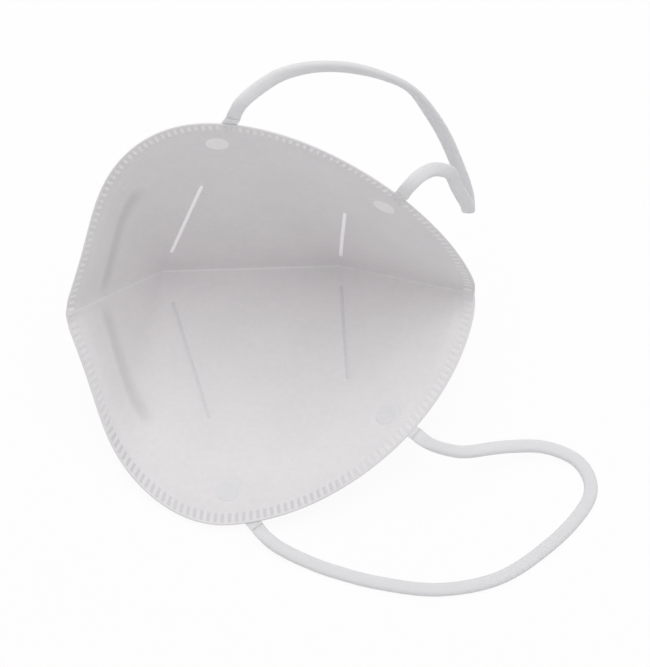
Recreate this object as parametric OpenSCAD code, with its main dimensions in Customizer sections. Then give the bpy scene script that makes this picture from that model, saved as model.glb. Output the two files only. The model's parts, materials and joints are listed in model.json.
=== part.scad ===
// Fold-flat dust mask, lying open on its left cheek with the inside up.
// X runs along the front fold from nose to chin, Z is up, sizes in millimetres.
// Flat pattern of one half: u along the fold from its nose end, v from the fold to the edge.

/* [Halves] */
// opening angle between the two halves at the front fold
open_angle = 88; // [76:1:90]
// length of the front fold
fold_len = 64; // [58:0.5:70]
// greatest depth of a half, from the fold to the edge
cheek_depth = 103; // [98:0.5:108]
// place of that greatest depth along the fold
cheek_peak = 22; // [18:0.5:28]
// length of the nose seam
nose_seam_len = 62; // [58:0.5:66]
// angle between the fold's line and the nose seam, laid flat
nose_seam_angle = 36.5; // [33:0.5:38]
// length of the chin seam
chin_seam_len = 61.5; // [58:0.5:65]
// angle between the fold's line and the chin seam, laid flat
chin_seam_angle = 32; // [28:0.5:35]
// angle of the crease between cheek and nose panel
nose_crease_angle = 92; // [90:0.5:94]
// angle of the crease between cheek and chin panel
chin_crease_angle = 96.5; // [95:0.5:98]
// angle of the bend in the cheek beside that crease
cheek_bend_angle = 119.5; // [118.5:0.5:120.5]
// turn of the cheek at that bend
cheek_bend_turn = 9.5; // [8:0.5:10.5]

/* [Edge curve] */
// direction of the edge at the nose tip
nose_edge_angle = 50; // [46:1:56]
// pull of the edge curve at the nose tip
nose_edge_pull = 40; // [34:1:46]
// pull of the edge curve on the nose side of its deepest point
cheek_pull_nose = 28; // [24:1:32]
// pull of the edge curve on the chin side of its deepest point
cheek_pull_chin = 46; // [40:1:52]
// steepness of the edge at the chin tip
chin_edge_angle = 85; // [80:1:90]
// pull of the edge curve at the chin tip
chin_edge_pull = 40; // [34:1:46]

/* [Plies] */
// inner lining
lining_t = 0.4; // [0.3:0.05:0.5]
// melt-blown filter
filter_t = 0.5; // [0.4:0.05:0.6]
// hot-air cotton
cotton_t = 0.7; // [0.6:0.05:0.9]
// outer cover
cover_t = 0.4; // [0.3:0.05:0.5]

/* [Welds] */
// width of the fused edge
weld_w = 5; // [4:0.25:6]
// thickness of the fused edge
weld_t = 0.75; // [0.6:0.05:0.9]
// width of the fused fin outside each seam
fin_w = 3.5; // [2.5:0.25:3.75]
// thickness of the fused fin
fin_t = 0.7; // [0.5:0.05:0.9]
// width of a weld rib
rib_w = 1.6; // [1.2:0.1:2]
// thickness of a weld rib
rib_t = 1.2; // [0.9:0.05:1.5]
// start of the cheek rib along the fold
cheek_rib_u = 3.5; // [3:0.25:5]
// start of the cheek rib from the fold
cheek_rib_v = 13; // [11:0.5:15]
// length of the cheek rib
cheek_rib_len = 49; // [44:0.5:54]
// angle of the cheek rib to the fold
cheek_rib_angle = 76; // [72:0.5:80]
// start of the chin rib from the fold's chin end
chin_rib_u = 0.3; // [0:0.1:1]
// start of the chin rib from the fold
chin_rib_v = 9; // [8:0.5:11]
// length of the chin rib
chin_rib_len = 42; // [38:0.5:46]
// angle of the chin rib to the fold
chin_rib_angle = 88.5; // [86:0.5:91]

/* [Nose clip] */
// length of each arm of the aluminium strip
clip_len = 42; // [38:0.5:46]
// width of the strip
clip_w = 5; // [4:0.25:6]
// thickness of the strip
clip_t = 0.9; // [0.6:0.05:1.1]
// distance of the strip's middle from the nose tip along the seam
clip_inset = 19.5; // [17.5:0.5:21]
// direction of the strip on the nose panel
clip_angle = 57; // [54:1:60]

/* [Ear loops] */
// width of the elastic band
loop_w = 4.8; // [4:0.1:5.2]
// thickness of the elastic band
loop_t = 2.6; // [2.2:0.1:2.7]
// thickness of a welded band end
tab_t = 0.6; // [0.5:0.05:0.7]
// diameter of a round weld spot
spot_d = 8; // [6.5:0.25:9]
// thickness of a weld spot
spot_t = 1.2; // [1:0.05:1.3]
// direction of the left band's cheek end, from the fold's line
cheek_tab_angle_left = 56; // [54:0.5:58]
// direction of the right band's cheek end, from the fold's line
cheek_tab_angle_right = 72; // [70:0.5:74]
// direction of the left band's chin end, from the fold's line
chin_tab_angle_left = 46; // [44:0.5:48]
// direction of the right band's chin end, from the fold's line
chin_tab_angle_right = 66; // [64:0.5:68]
// cheek weld spot along the fold
cheek_spot_u = 21; // [19.5:0.25:22.5]
// cheek weld spot from the fold
cheek_spot_v = 90; // [88.5:0.25:90.5]
// length of the cheek band end
cheek_tab_len = 17; // [15.6:0.1:17]
// chin weld spot along the fold, from the fold's chin end
chin_spot_u = 15.5; // [14.5:0.25:16.5]
// chin weld spot from the fold
chin_spot_v = 70.5; // [69:0.25:71]
// length of the chin band end
chin_tab_len = 15; // [14.6:0.1:15]

/* [Clearances] */
// inner faces below the hinge lines
hinge_gap = 0.3; // [0.2:0.05:0.4]
// each panel's distance from its crease line
crease_gap = 0.2; // [0.15:0.05:0.3]
// each panel's distance from its seam line
seam_gap = 0.4; // [0.35:0.05:0.6]
// turn of the nose panels' seam edges away from the seam
nose_relief = 3.9; // [3.8:0.1:6]
// turn of the chin panels' seam edges away from the seam
chin_relief = 2.2; // [2.1:0.1:4]

/* [Hidden] */

$fn = 40;
reach = 300;
cut_over = 1;
tall = 12;
nose_steps = 12;
chin_steps = 18;
loop_sides = 10;
loop_steps = 2;
fabric = [0.93, 0.93, 0.93];
inner = [0.85, 0.86, 0.87];
fused = [0.8, 0.82, 0.84];
elastic = [0.96, 0.96, 0.96];
metal = [0.7, 0.71, 0.73];

half_open = open_angle / 2;
wall_t = lining_t + filter_t + cotton_t + cover_t;
outer_w = -hinge_gap - wall_t;
fold_end = [fold_len, 0];

// Directions of the flat pattern, and turns about them through an end of the fold.
function flat_ray(angle) = [cos(angle), -sin(angle), 0];
function turned(v, axis, angle) = v * cos(angle) + cross(axis, v) * sin(angle)
  + axis * (axis * v) * (1 - cos(angle));

// Turn of a nose or chin panel about its crease that brings its seam into the mid-plane.
mid_normal = [0, sin(half_open), cos(half_open)];
function closing_turn(axis, v) = let (
  still = (mid_normal * axis) * (axis * v),
  near = mid_normal * v - still,
  over = mid_normal * cross(axis, v))
  atan2(over, near) - acos(-still / norm([near, over]));

nose_axis = -flat_ray(nose_crease_angle);
nose_flat_seam = flat_ray(180 - nose_seam_angle);
nose_turn = closing_turn(nose_axis, nose_flat_seam);
bend_axis = flat_ray(cheek_bend_angle);
chin_axis = turned(flat_ray(chin_crease_angle), bend_axis, cheek_bend_turn);
chin_flat_seam = turned(flat_ray(chin_seam_angle), bend_axis, cheek_bend_turn);
chin_turn = closing_turn(chin_axis, chin_flat_seam);

// Angle in the mid-plane between the fold and a seam, once the halves are open.
nose_swing = acos(turned(nose_flat_seam, nose_axis, nose_turn)[0]);
chin_swing = acos(-turned(chin_flat_seam, chin_axis, chin_turn)[0]);

// The edge is two cubic curves that meet at the deepest point of the cheek.
nose_tip = nose_seam_len * [-cos(nose_seam_angle), sin(nose_seam_angle)];
chin_tip = fold_end + chin_seam_len * [cos(chin_seam_angle), sin(chin_seam_angle)];
peak = [cheek_peak, cheek_depth];
nose_run = [nose_tip, nose_tip + nose_edge_pull * [cos(nose_edge_angle), sin(nose_edge_angle)],
            peak - [cheek_pull_nose, 0], peak];
chin_run = [peak, peak + [cheek_pull_chin, 0],
            chin_tip + chin_edge_pull * [-cos(chin_edge_angle), sin(chin_edge_angle)], chin_tip];

function curve_at(p, s) = pow(1 - s, 3) * p[0] + 3 * s * pow(1 - s, 2) * p[1]
  + 3 * s * s * (1 - s) * p[2] + pow(s, 3) * p[3];
function curve_dir(p, s) = let (d = pow(1 - s, 2) * (p[1] - p[0]) + 2 * s * (1 - s) * (p[2] - p[1])
  + s * s * (p[3] - p[2])) d / norm(d);

edge = concat(
  [for (i = [0 : nose_steps - 1]) [curve_at(nose_run, i / nose_steps), curve_dir(nose_run, i / nose_steps)]],
  [for (i = [0 : chin_steps]) [curve_at(chin_run, i / chin_steps), curve_dir(chin_run, i / chin_steps)]]);
edge_last = len(edge) - 1;

function inset_edge(d) = [for (e = edge) e[0] + d * [e[1][1], -e[1][0]]];

// Routes of the two ear loops from the cheek exit to the chin exit, each point with the
// direction that the band's flat side faces.
route_left = [
  [30.9, -104.6, 1.8, -0.14, 0.08, 0.98], [32.6, -107.1, 1.5, -0.1, 0.05, 1],
  [36.6, -110.8, 0.5, 0, 0, 1], [41.5, -113.8, -0.4, 0, 0, 1], [47.5, -116.9, -0.9, 0, 0, 1],
  [56, -120.8, -0.9, 0, 0, 1], [72, -126, -0.9, 0, 0, 1], [92.5, -129.2, -0.9, 0, 0, 1],
  [113.5, -125.5, -0.9, 0, 0, 1], [131.5, -113.8, -0.9, 0, 0, 1], [144, -101, -0.9, 0, 0, 1],
  [147.8, -91.5, -0.9, 0, 0, 1], [144, -82, -0.6, 0, 0, 1], [132.8, -76.8, 0.8, 0, 0, 1],
  [118.5, -78, 4.5, 0, 0, 1], [104.5, -82, 9.5, -0.15, 0, 1], [97.6, -83.1, 13.7, -0.25, 0, 0.97],
  [92.1, -83.3, 18, -0.35, 0.05, 0.93], [88.6, -82.3, 20.6, -0.45, 0.1, 0.9],
  [86.4, -80.2, 20.8, -0.49, 0.11, 0.87]];
route_right = [
  [26.5, -5, 106.6, 0.14, 0.98, 0.12], [27.2, -4.6, 109.2, 0.12, 0.98, 0.05],
  [29.5, -2.8, 112.6, 0.05, 0.93, -0.3], [34.8, 0.8, 115, 0, 0.85, -0.5],
  [43, 5, 117, -0.05, 0.9, -0.4], [53.9, 8.5, 115.6, -0.15, 0.97, -0.1],
  [66, 10.5, 111.5, -0.1, 0.98, 0.1], [78.6, 12, 103.1, 0.2, 0.9, 0.35],
  [87.5, 12.8, 93.5, 0.5, 0.8, 0.3], [94.8, 13, 77.9, 0.2, 0.97, 0.05], [100.6, 12.4, 62.8, 0.1, 1, 0],
  [106.2, 10.9, 44.3, 0.05, 1, 0], [108.9, 9.6, 34, 0, 0.98, -0.15],
  [109.7, 8.7, 29.3, 0, 0.75, -0.65], [109.9, 6.5, 27.2, 0, 0, -1],
  [109.5, 4.3, 29.3, 0, -0.75, -0.65], [108.6, 3.5, 34.6, 0.1, -0.98, -0.1],
  [104.6, 1.3, 48.4, 0.2, -0.95, 0.1], [101.1, -3.4, 65.4, 0.3, -0.8, 0.5],
  [97.8, -7.8, 75.2, 0.35, -0.5, 0.8], [93.1, -13.2, 84.4, 0.3, -0.35, 0.9],
  [88.4, -17.8, 88, 0.2, -0.55, 0.8], [84.4, -21.2, 86.7, -0.3, -0.9, 0.3],
  [82.4, -21.9, 82.7, -0.49, -0.86, -0.14]];
loop_taper = 8;

// Smooth point between stations i and i + 1 of a route, at share s.
function route_pick(r, i) = r[max(0, min(len(r) - 1, i))];
function route_at(r, i, s) = let (a = route_pick(r, i - 1), b = route_pick(r, i),
  c = route_pick(r, i + 1), d = route_pick(r, i + 2))
  0.5 * (2 * b + (c - a) * s + (2 * a - 5 * b + 4 * c - d) * s * s
  + (3 * b - a - 3 * c + d) * s * s * s);
function xyz(p) = [p[0], p[1], p[2]];
function unit(v) = v / norm(v);

// Ring of the band at station k: flat end at both welds, full oval between.
function band_ring(q, k) = let (
  last = len(q) - 1,
  at = xyz(q[k]),
  along = unit(xyz(q[min(k + 1, last)]) - xyz(q[max(k - 1, 0)])),
  side = unit(cross(along, [q[k][3], q[k][4], q[k][5]])),
  face = cross(side, along),
  away = min(norm(at - xyz(q[0])), norm(at - xyz(q[last]))),
  thick = tab_t + (loop_t - tab_t) * min(1, away / loop_taper))
  [for (j = [0 : loop_sides - 1]) at + loop_w / 2 * cos(360 * j / loop_sides) * side
    + thick / 2 * sin(360 * j / loop_sides) * face];

module band(r) {
  q = concat([for (i = [0 : len(r) - 2], m = [0 : loop_steps - 1]) route_at(r, i, m / loop_steps)],
             [r[len(r) - 1]]);
  rings = len(q);
  n = loop_sides;
  polyhedron(
    points = [for (k = [0 : rings - 1]) each band_ring(q, k)],
    faces = concat(
      [[for (j = [0 : n - 1]) j]],
      [for (k = [0 : rings - 2], j = [0 : n - 1]) let (a = k * n + j, b = k * n + (j + 1) % n)
        each [[a, a + n, b + n], [a, b + n, b]]],
      [[for (j = [n - 1 : -1 : 0]) (rings - 1) * n + j]]));
}

// Halves of the flat plane beside a line.
module left_of(at, angle, gap)
  translate(at) rotate(angle) translate([-reach, gap]) square([2 * reach, reach]);
module right_of(at, angle, gap)
  translate(at) rotate(angle) translate([-reach, -reach - gap]) square([2 * reach, reach]);

// One half laid flat, with its edge drawn in by d and its seam ends left long.
function long_edge(d) = let (p = inset_edge(d)) concat(
  [p[0] - 2 * weld_w * edge[0][1]], p, [p[edge_last] + 2 * weld_w * edge[edge_last][1]]);
module half_2d(d) polygon(concat(
  [[-2 * nose_seam_len, -reach / 10]], long_edge(d), [[fold_len + 2 * chin_seam_len, -reach / 10]]));

// The fused edge laid flat, also left long.
module band_2d() {
  p = long_edge(weld_w);
  polygon(concat(long_edge(0), [for (i = [len(p) - 1 : -1 : 0]) p[i]]));
}

// What of it belongs to the cheek, nose and chin panels.
module cheek_part() intersection() {
  children();
  right_of([0, 0], nose_crease_angle, crease_gap);
  left_of(fold_end, chin_crease_angle, crease_gap);
  left_of([0, 0], 0, crease_gap);
}
module nose_part() intersection() {
  children();
  left_of([0, 0], nose_crease_angle, crease_gap);
  right_of([0, 0], 180 - nose_seam_angle - nose_relief, seam_gap);
}
module chin_part() intersection() {
  children();
  right_of(fold_end, chin_crease_angle, crease_gap);
  left_of(fold_end, chin_seam_angle + chin_relief, seam_gap);
}

cheek_spot = [cheek_spot_u, cheek_spot_v];
chin_spot = fold_end + [chin_spot_u, chin_spot_v];
cheek_rib = [cheek_rib_u, cheek_rib_v];
chin_rib = fold_end + [chin_rib_u, chin_rib_v];

module rib_2d(at, angle, length)
  translate(at) rotate(angle) translate([0, -rib_w / 2]) square([length, rib_w]);
module spot_2d(at) translate(at) circle(d = spot_d);
module tab_2d(at, angle, length) translate(at) rotate(angle) {
  circle(d = loop_w);
  translate([0, -loop_w / 2]) square([length, loop_w]);
}

module cheek_holes_2d() {
  rib_2d(cheek_rib, cheek_rib_angle, cheek_rib_len);
  spot_2d(cheek_spot);
}
module chin_holes_2d() {
  rib_2d(chin_rib, chin_rib_angle, chin_rib_len);
  spot_2d(chin_spot);
}

// A flat layer of thickness t whose upper face lies at height w from the hinge plane.
module layer(w, t) translate([0, 0, w - t]) mirror([0, 1, 0]) linear_extrude(t) children();

// The cheek's chin side, turned up at the bend.
module at_bend() translate(concat(fold_end, 0)) rotate(cheek_bend_turn, bend_axis)
  translate(-concat(fold_end, 0)) children();

// A slab of thickness t in two planes that meet at the bend, its upper face at height w.
function on_mitre(w) = [-w * tan(cheek_bend_turn / 2), w];
function far_side(w) = reach * [cos(cheek_bend_turn), sin(cheek_bend_turn)]
  + w * [-sin(cheek_bend_turn), cos(cheek_bend_turn)];
module bent_slab(w, t) translate(concat(fold_end, 0)) rotate([0, 0, -cheek_bend_angle])
  rotate([90, 0, 90]) linear_extrude(2 * reach, center = true) polygon([
    [-reach, w - t], on_mitre(w - t), far_side(w - t), far_side(w), on_mitre(w), [-reach, w]]);

// What of that slab lies over a flat outline of the cheek.
module bent_layer(w, t) intersection() {
  bent_slab(w, t);
  union() {
    layer(tall / 2, tall) intersection() { children(); left_of(fold_end, cheek_bend_angle, -cut_over); }
    at_bend() layer(tall / 2, tall) intersection() {
      children();
      right_of(fold_end, cheek_bend_angle, -cut_over);
    }
  }
}

lining_w = -hinge_gap;
filter_w = lining_w - lining_t;
cotton_w = filter_w - filter_t;
cover_w = cotton_w - cotton_t;
mid_w = (lining_w + outer_w) / 2;
tab_w = outer_w + tab_t;

// Band end at an angle, and with more depth the space that it takes from the plies.
module cheek_tab(angle, more = 0)
  at_bend() layer(tab_w, tab_t + more) tab_2d(cheek_spot, angle, cheek_tab_len);
module chin_tab(angle, more = 0) layer(tab_w, tab_t + more) tab_2d(chin_spot, angle, chin_tab_len);

module cheek_ply(w, t, angle) difference() {
  bent_layer(w, t) difference() { cheek_part() half_2d(weld_w); cheek_holes_2d(); }
  cheek_tab(angle, cut_over);
}
module chin_ply(w, t, angle) difference() {
  layer(w, t) difference() { chin_part() half_2d(weld_w); chin_holes_2d(); }
  chin_tab(angle, cut_over);
}
module nose_ply(w, t) layer(w, t) nose_part() half_2d(weld_w);

module cheek_rim(angle) difference() {
  bent_layer(mid_w + weld_t / 2, weld_t) difference() { cheek_part() band_2d(); spot_2d(cheek_spot); }
  cheek_tab(angle, cut_over);
}
module chin_rim(angle) difference() {
  layer(mid_w + weld_t / 2, weld_t) difference() { chin_part() band_2d(); spot_2d(chin_spot); }
  chin_tab(angle, cut_over);
}
module nose_rim() layer(mid_w + weld_t / 2, weld_t) nose_part() band_2d();

module cheek_spot_weld() at_bend() layer(tab_w + spot_t, spot_t) spot_2d(cheek_spot);
module chin_spot_weld() layer(tab_w + spot_t, spot_t) spot_2d(chin_spot);
module cheek_rib_weld() layer(mid_w + rib_t / 2, rib_t) rib_2d(cheek_rib, cheek_rib_angle, cheek_rib_len);
module chin_rib_weld() layer(mid_w + rib_t / 2, rib_t) rib_2d(chin_rib, chin_rib_angle, chin_rib_len);

// One arm of the nose strip, outside the cover, from beside the nose seam.
clip_from = (nose_seam_len - clip_inset) * [-cos(nose_seam_angle), sin(nose_seam_angle)];
clip_start = clip_w / 2 + seam_gap + (nose_seam_len - clip_inset) * tan(nose_relief);
module nose_clip() layer(outer_w, clip_t) translate(clip_from) rotate(clip_angle) {
  translate([clip_start, -clip_w / 2]) square([clip_len - clip_w, clip_w]);
  for (x = [clip_start, clip_start + clip_len - clip_w]) translate([x, 0]) circle(d = clip_w);
}

// Fused fin beside a seam, with a slanted start near the fold.
module fin_2d(length) polygon([
  [fin_w, 0], [length, 0], [length, fin_w], [2 * fin_w, fin_w]]);
module mid_plane() rotate([-half_open, 0, 0]) mirror([0, 1, 0])
  linear_extrude(fin_t, center = true) children();

// Middle of the mask's box and its underside, so that the origin lies below the middle.
function on_bend(p, w) = concat(fold_end, 0)
  + turned([p[0] - fold_len, -p[1], w], bend_axis, cheek_bend_turn);
band_corner = cheek_spot + cheek_tab_len * [cos(cheek_tab_angle_left), sin(cheek_tab_angle_left)]
  + loop_w / 2 * [-sin(cheek_tab_angle_left), cos(cheek_tab_angle_left)];
fin_nose_x = nose_seam_len * cos(nose_swing) - fin_w * sin(nose_swing);
fin_chin_x = fold_len - chin_seam_len * cos(chin_swing) + fin_w * sin(chin_swing);
front_y = min(on_bend(band_corner, outer_w)[1], on_bend(peak, mid_w - weld_t / 2)[1]);
back_y = -outer_w * sin(open_angle) - crease_gap * cos(open_angle);
place = [-(fin_nose_x + fin_chin_x) / 2, -(front_y + back_y) / 2, -outer_w];

// Panels of the left half as they lie, and the right half as its mirror image.
module at_nose() rotate(nose_turn, nose_axis) children();
module at_chin() translate(concat(fold_end, 0)) rotate(chin_turn, chin_axis)
  translate(-concat(fold_end, 0)) at_bend() children();
module left_half() translate(place) children();
module right_half() translate(place) mirror([0, sin(half_open), cos(half_open)]) children();

module cheek_cover_left() color(fabric)
  left_half() cheek_ply(cover_w, cover_t, cheek_tab_angle_left);
module cheek_cotton_left() color(inner)
  left_half() cheek_ply(cotton_w, cotton_t, cheek_tab_angle_left);
module cheek_filter_left() color(inner)
  left_half() cheek_ply(filter_w, filter_t, cheek_tab_angle_left);
module cheek_lining_left() color(fabric)
  left_half() cheek_ply(lining_w, lining_t, cheek_tab_angle_left);
module cheek_rim_left() color(fused) left_half() cheek_rim(cheek_tab_angle_left);
module cheek_rib_left() color(fused) left_half() cheek_rib_weld();
module cheek_spot_left() color(fused) left_half() cheek_spot_weld();
module cheek_tab_left() color(elastic) left_half() cheek_tab(cheek_tab_angle_left);
module loop_left() color(elastic) translate(place) band(route_left);

module cheek_cover_right() color(fabric)
  right_half() cheek_ply(cover_w, cover_t, cheek_tab_angle_right);
module cheek_cotton_right() color(inner)
  right_half() cheek_ply(cotton_w, cotton_t, cheek_tab_angle_right);
module cheek_filter_right() color(inner)
  right_half() cheek_ply(filter_w, filter_t, cheek_tab_angle_right);
module cheek_lining_right() color(fabric)
  right_half() cheek_ply(lining_w, lining_t, cheek_tab_angle_right);
module cheek_rim_right() color(fused) right_half() cheek_rim(cheek_tab_angle_right);
module cheek_rib_right() color(fused) right_half() cheek_rib_weld();
module cheek_spot_right() color(fused) right_half() cheek_spot_weld();
module cheek_tab_right() color(elastic) right_half() cheek_tab(cheek_tab_angle_right);
module loop_right() color(elastic) translate(place) band(route_right);

module nose_cover_left() color(fabric) left_half() at_nose() nose_ply(cover_w, cover_t);
module nose_cotton_left() color(inner) left_half() at_nose() nose_ply(cotton_w, cotton_t);
module nose_filter_left() color(inner) left_half() at_nose() nose_ply(filter_w, filter_t);
module nose_lining_left() color(fabric) left_half() at_nose() nose_ply(lining_w, lining_t);
module nose_rim_left() color(fused) left_half() at_nose() nose_rim();
module nose_clip_left() color(metal) left_half() at_nose() nose_clip();

module nose_cover_right() color(fabric) right_half() at_nose() nose_ply(cover_w, cover_t);
module nose_cotton_right() color(inner) right_half() at_nose() nose_ply(cotton_w, cotton_t);
module nose_filter_right() color(inner) right_half() at_nose() nose_ply(filter_w, filter_t);
module nose_lining_right() color(fabric) right_half() at_nose() nose_ply(lining_w, lining_t);
module nose_rim_right() color(fused) right_half() at_nose() nose_rim();
module nose_clip_right() color(metal) right_half() at_nose() nose_clip();

module chin_cover_left() color(fabric)
  left_half() at_chin() chin_ply(cover_w, cover_t, chin_tab_angle_left);
module chin_cotton_left() color(inner)
  left_half() at_chin() chin_ply(cotton_w, cotton_t, chin_tab_angle_left);
module chin_filter_left() color(inner)
  left_half() at_chin() chin_ply(filter_w, filter_t, chin_tab_angle_left);
module chin_lining_left() color(fabric)
  left_half() at_chin() chin_ply(lining_w, lining_t, chin_tab_angle_left);
module chin_rim_left() color(fused) left_half() at_chin() chin_rim(chin_tab_angle_left);
module chin_rib_left() color(fused) left_half() at_chin() chin_rib_weld();
module chin_spot_left() color(fused) left_half() at_chin() chin_spot_weld();
module chin_tab_left() color(elastic) left_half() at_chin() chin_tab(chin_tab_angle_left);

module chin_cover_right() color(fabric)
  right_half() at_chin() chin_ply(cover_w, cover_t, chin_tab_angle_right);
module chin_cotton_right() color(inner)
  right_half() at_chin() chin_ply(cotton_w, cotton_t, chin_tab_angle_right);
module chin_filter_right() color(inner)
  right_half() at_chin() chin_ply(filter_w, filter_t, chin_tab_angle_right);
module chin_lining_right() color(fabric)
  right_half() at_chin() chin_ply(lining_w, lining_t, chin_tab_angle_right);
module chin_rim_right() color(fused) right_half() at_chin() chin_rim(chin_tab_angle_right);
module chin_rib_right() color(fused) right_half() at_chin() chin_rib_weld();
module chin_spot_right() color(fused) right_half() at_chin() chin_spot_weld();
module chin_tab_right() color(elastic) right_half() at_chin() chin_tab(chin_tab_angle_right);

module nose_seam() color(fused) translate(place) mid_plane()
  rotate(nose_swing) fin_2d(nose_seam_len);
module chin_seam() color(fused) translate(place) mid_plane()
  translate(fold_end) rotate(180 - chin_swing) mirror([0, 1]) fin_2d(chin_seam_len);

cheek_cover_left();
cheek_cotton_left();
cheek_filter_left();
cheek_lining_left();
cheek_rim_left();
cheek_rib_left();
cheek_spot_left();
cheek_tab_left();
loop_left();
cheek_cover_right();
cheek_cotton_right();
cheek_filter_right();
cheek_lining_right();
cheek_rim_right();
cheek_rib_right();
cheek_spot_right();
cheek_tab_right();
loop_right();
nose_cover_left();
nose_cotton_left();
nose_filter_left();
nose_lining_left();
nose_rim_left();
nose_clip_left();
nose_cover_right();
nose_cotton_right();
nose_filter_right();
nose_lining_right();
nose_rim_right();
nose_clip_right();
chin_cover_left();
chin_cotton_left();
chin_filter_left();
chin_lining_left();
chin_rim_left();
chin_rib_left();
chin_spot_left();
chin_tab_left();
chin_cover_right();
chin_cotton_right();
chin_filter_right();
chin_lining_right();
chin_rim_right();
chin_rib_right();
chin_spot_right();
chin_tab_right();
nose_seam();
chin_seam();
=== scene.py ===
"""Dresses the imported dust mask: soft plies, edges, welds, nose strip, ear loops and a studio."""

from __future__ import annotations

import json
import logging
import math
from collections.abc import Callable
from dataclasses import dataclass, field
from enum import Enum

import bmesh
import bpy
import numpy as np
from mathutils import Matrix, Vector


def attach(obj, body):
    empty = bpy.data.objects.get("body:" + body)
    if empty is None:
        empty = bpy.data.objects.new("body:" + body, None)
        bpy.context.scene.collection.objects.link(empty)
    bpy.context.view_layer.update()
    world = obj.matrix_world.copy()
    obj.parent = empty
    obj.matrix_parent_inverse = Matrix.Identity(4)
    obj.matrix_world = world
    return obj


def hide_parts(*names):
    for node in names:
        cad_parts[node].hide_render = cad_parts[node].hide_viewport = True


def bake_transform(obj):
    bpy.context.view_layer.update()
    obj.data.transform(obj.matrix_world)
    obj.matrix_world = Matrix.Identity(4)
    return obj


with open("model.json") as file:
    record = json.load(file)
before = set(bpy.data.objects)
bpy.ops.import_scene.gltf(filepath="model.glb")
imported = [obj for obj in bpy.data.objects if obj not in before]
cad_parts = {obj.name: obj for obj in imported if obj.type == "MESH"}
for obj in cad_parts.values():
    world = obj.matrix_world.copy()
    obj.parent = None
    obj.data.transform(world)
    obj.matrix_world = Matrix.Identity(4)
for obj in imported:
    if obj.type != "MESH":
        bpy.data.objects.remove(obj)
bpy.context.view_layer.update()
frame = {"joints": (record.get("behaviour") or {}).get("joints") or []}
LOG = logging.getLogger("dust_mask")

MM = 0.001
FLAT_UV = "flat"
JOINTS = {joint["name"]: joint for joint in frame["joints"]}
NOSE_END = np.array(JOINTS["nose_crease_left"]["pos_m"])
CHIN_END = np.array(JOINTS["chin_crease_left"]["pos_m"])
FOLD_LEN = float(CHIN_END[0] - NOSE_END[0])
OPEN_ANGLE = math.radians(88.0)
MID_NORMAL = np.array([0.0, math.sin(OPEN_ANGLE / 2), math.cos(OPEN_ANGLE / 2)])
FLIP = np.array([-1.0, 1.0, 1.0])
TINY = 1e-18

Array = np.ndarray
Pair = tuple[float, float]
Triple = tuple[float, float, float]
Colour = Triple
Face = tuple[int, ...]
Piece = bpy.types.Object
Number = "float | Sock"
Values = dict[object, object]


class Side(Enum):
    """The two halves of the mask; the left one lies on the table."""

    LEFT = "left"
    RIGHT = "right"


class End(Enum):
    """The two ends of the front fold, each with its own bent panel."""

    NOSE = "nose"
    CHIN = "chin"

    @property
    def panel(self) -> str:
        """The panel that holds the welds and the band end near this end."""
        return "cheek" if self is End.NOSE else "chin"


def smooth(x: Array) -> Array:
    """Smooth step from 0 to 1 over the unit range."""
    t = np.clip(x, 0.0, 1.0)
    return t * t * (3.0 - 2.0 * t)


def unit(vectors: Array) -> Array:
    """Vectors at unit length, one row each."""
    return vectors / np.linalg.norm(vectors, axis=-1, keepdims=True)


def heading(degrees: float) -> Array:
    """Unit vector of the flat pattern at an angle to the fold."""
    return np.array([math.cos(math.radians(degrees)), math.sin(math.radians(degrees))])


def mirrored(points: Array) -> Array:
    """Points of the left half, seen from the fold's nose end, carried over to the right half."""
    return points - 2.0 * (points @ MID_NORMAL)[..., None] * MID_NORMAL


def from_end(flat: Array, end: End) -> Array:
    """Flat points seen from one end of the fold, which mirrors them at the chin end."""
    return flat if end is End.NOSE else flat * [-1.0, 1.0] + [FOLD_LEN, 0.0]


def to_path(points: Array, path: Array) -> Array:
    """Distance of flat points from an open path.

    Args:
        points: Flat points, one row each.
        path: Corners of the path, one row each.

    Returns:
        One distance for each point.
    """
    best = np.full(len(points), np.inf)
    for a, b in zip(path[:-1], path[1:]):
        along = b - a
        share = np.clip(((points - a) @ along) / max(along @ along, TINY), 0.0, 1.0)
        best = np.minimum(best, np.linalg.norm(points - a - share[:, None] * along, axis=1))
    return best


def mileage(path: Array) -> Array:
    """Length of a path up to each of its points."""
    return np.concatenate([[0.0], np.cumsum(np.linalg.norm(np.diff(path, axis=0), axis=1))])


def path_length(path: Array) -> float:
    """Length of a path of straight steps."""
    return float(mileage(path)[-1])


def resample(path: Array, shares: Array) -> Array:
    """Points of a path at given shares of its length, from 0 to 1."""
    at = mileage(path)
    return np.stack([np.interp(shares * at[-1], at, row) for row in path.T], axis=1)


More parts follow.
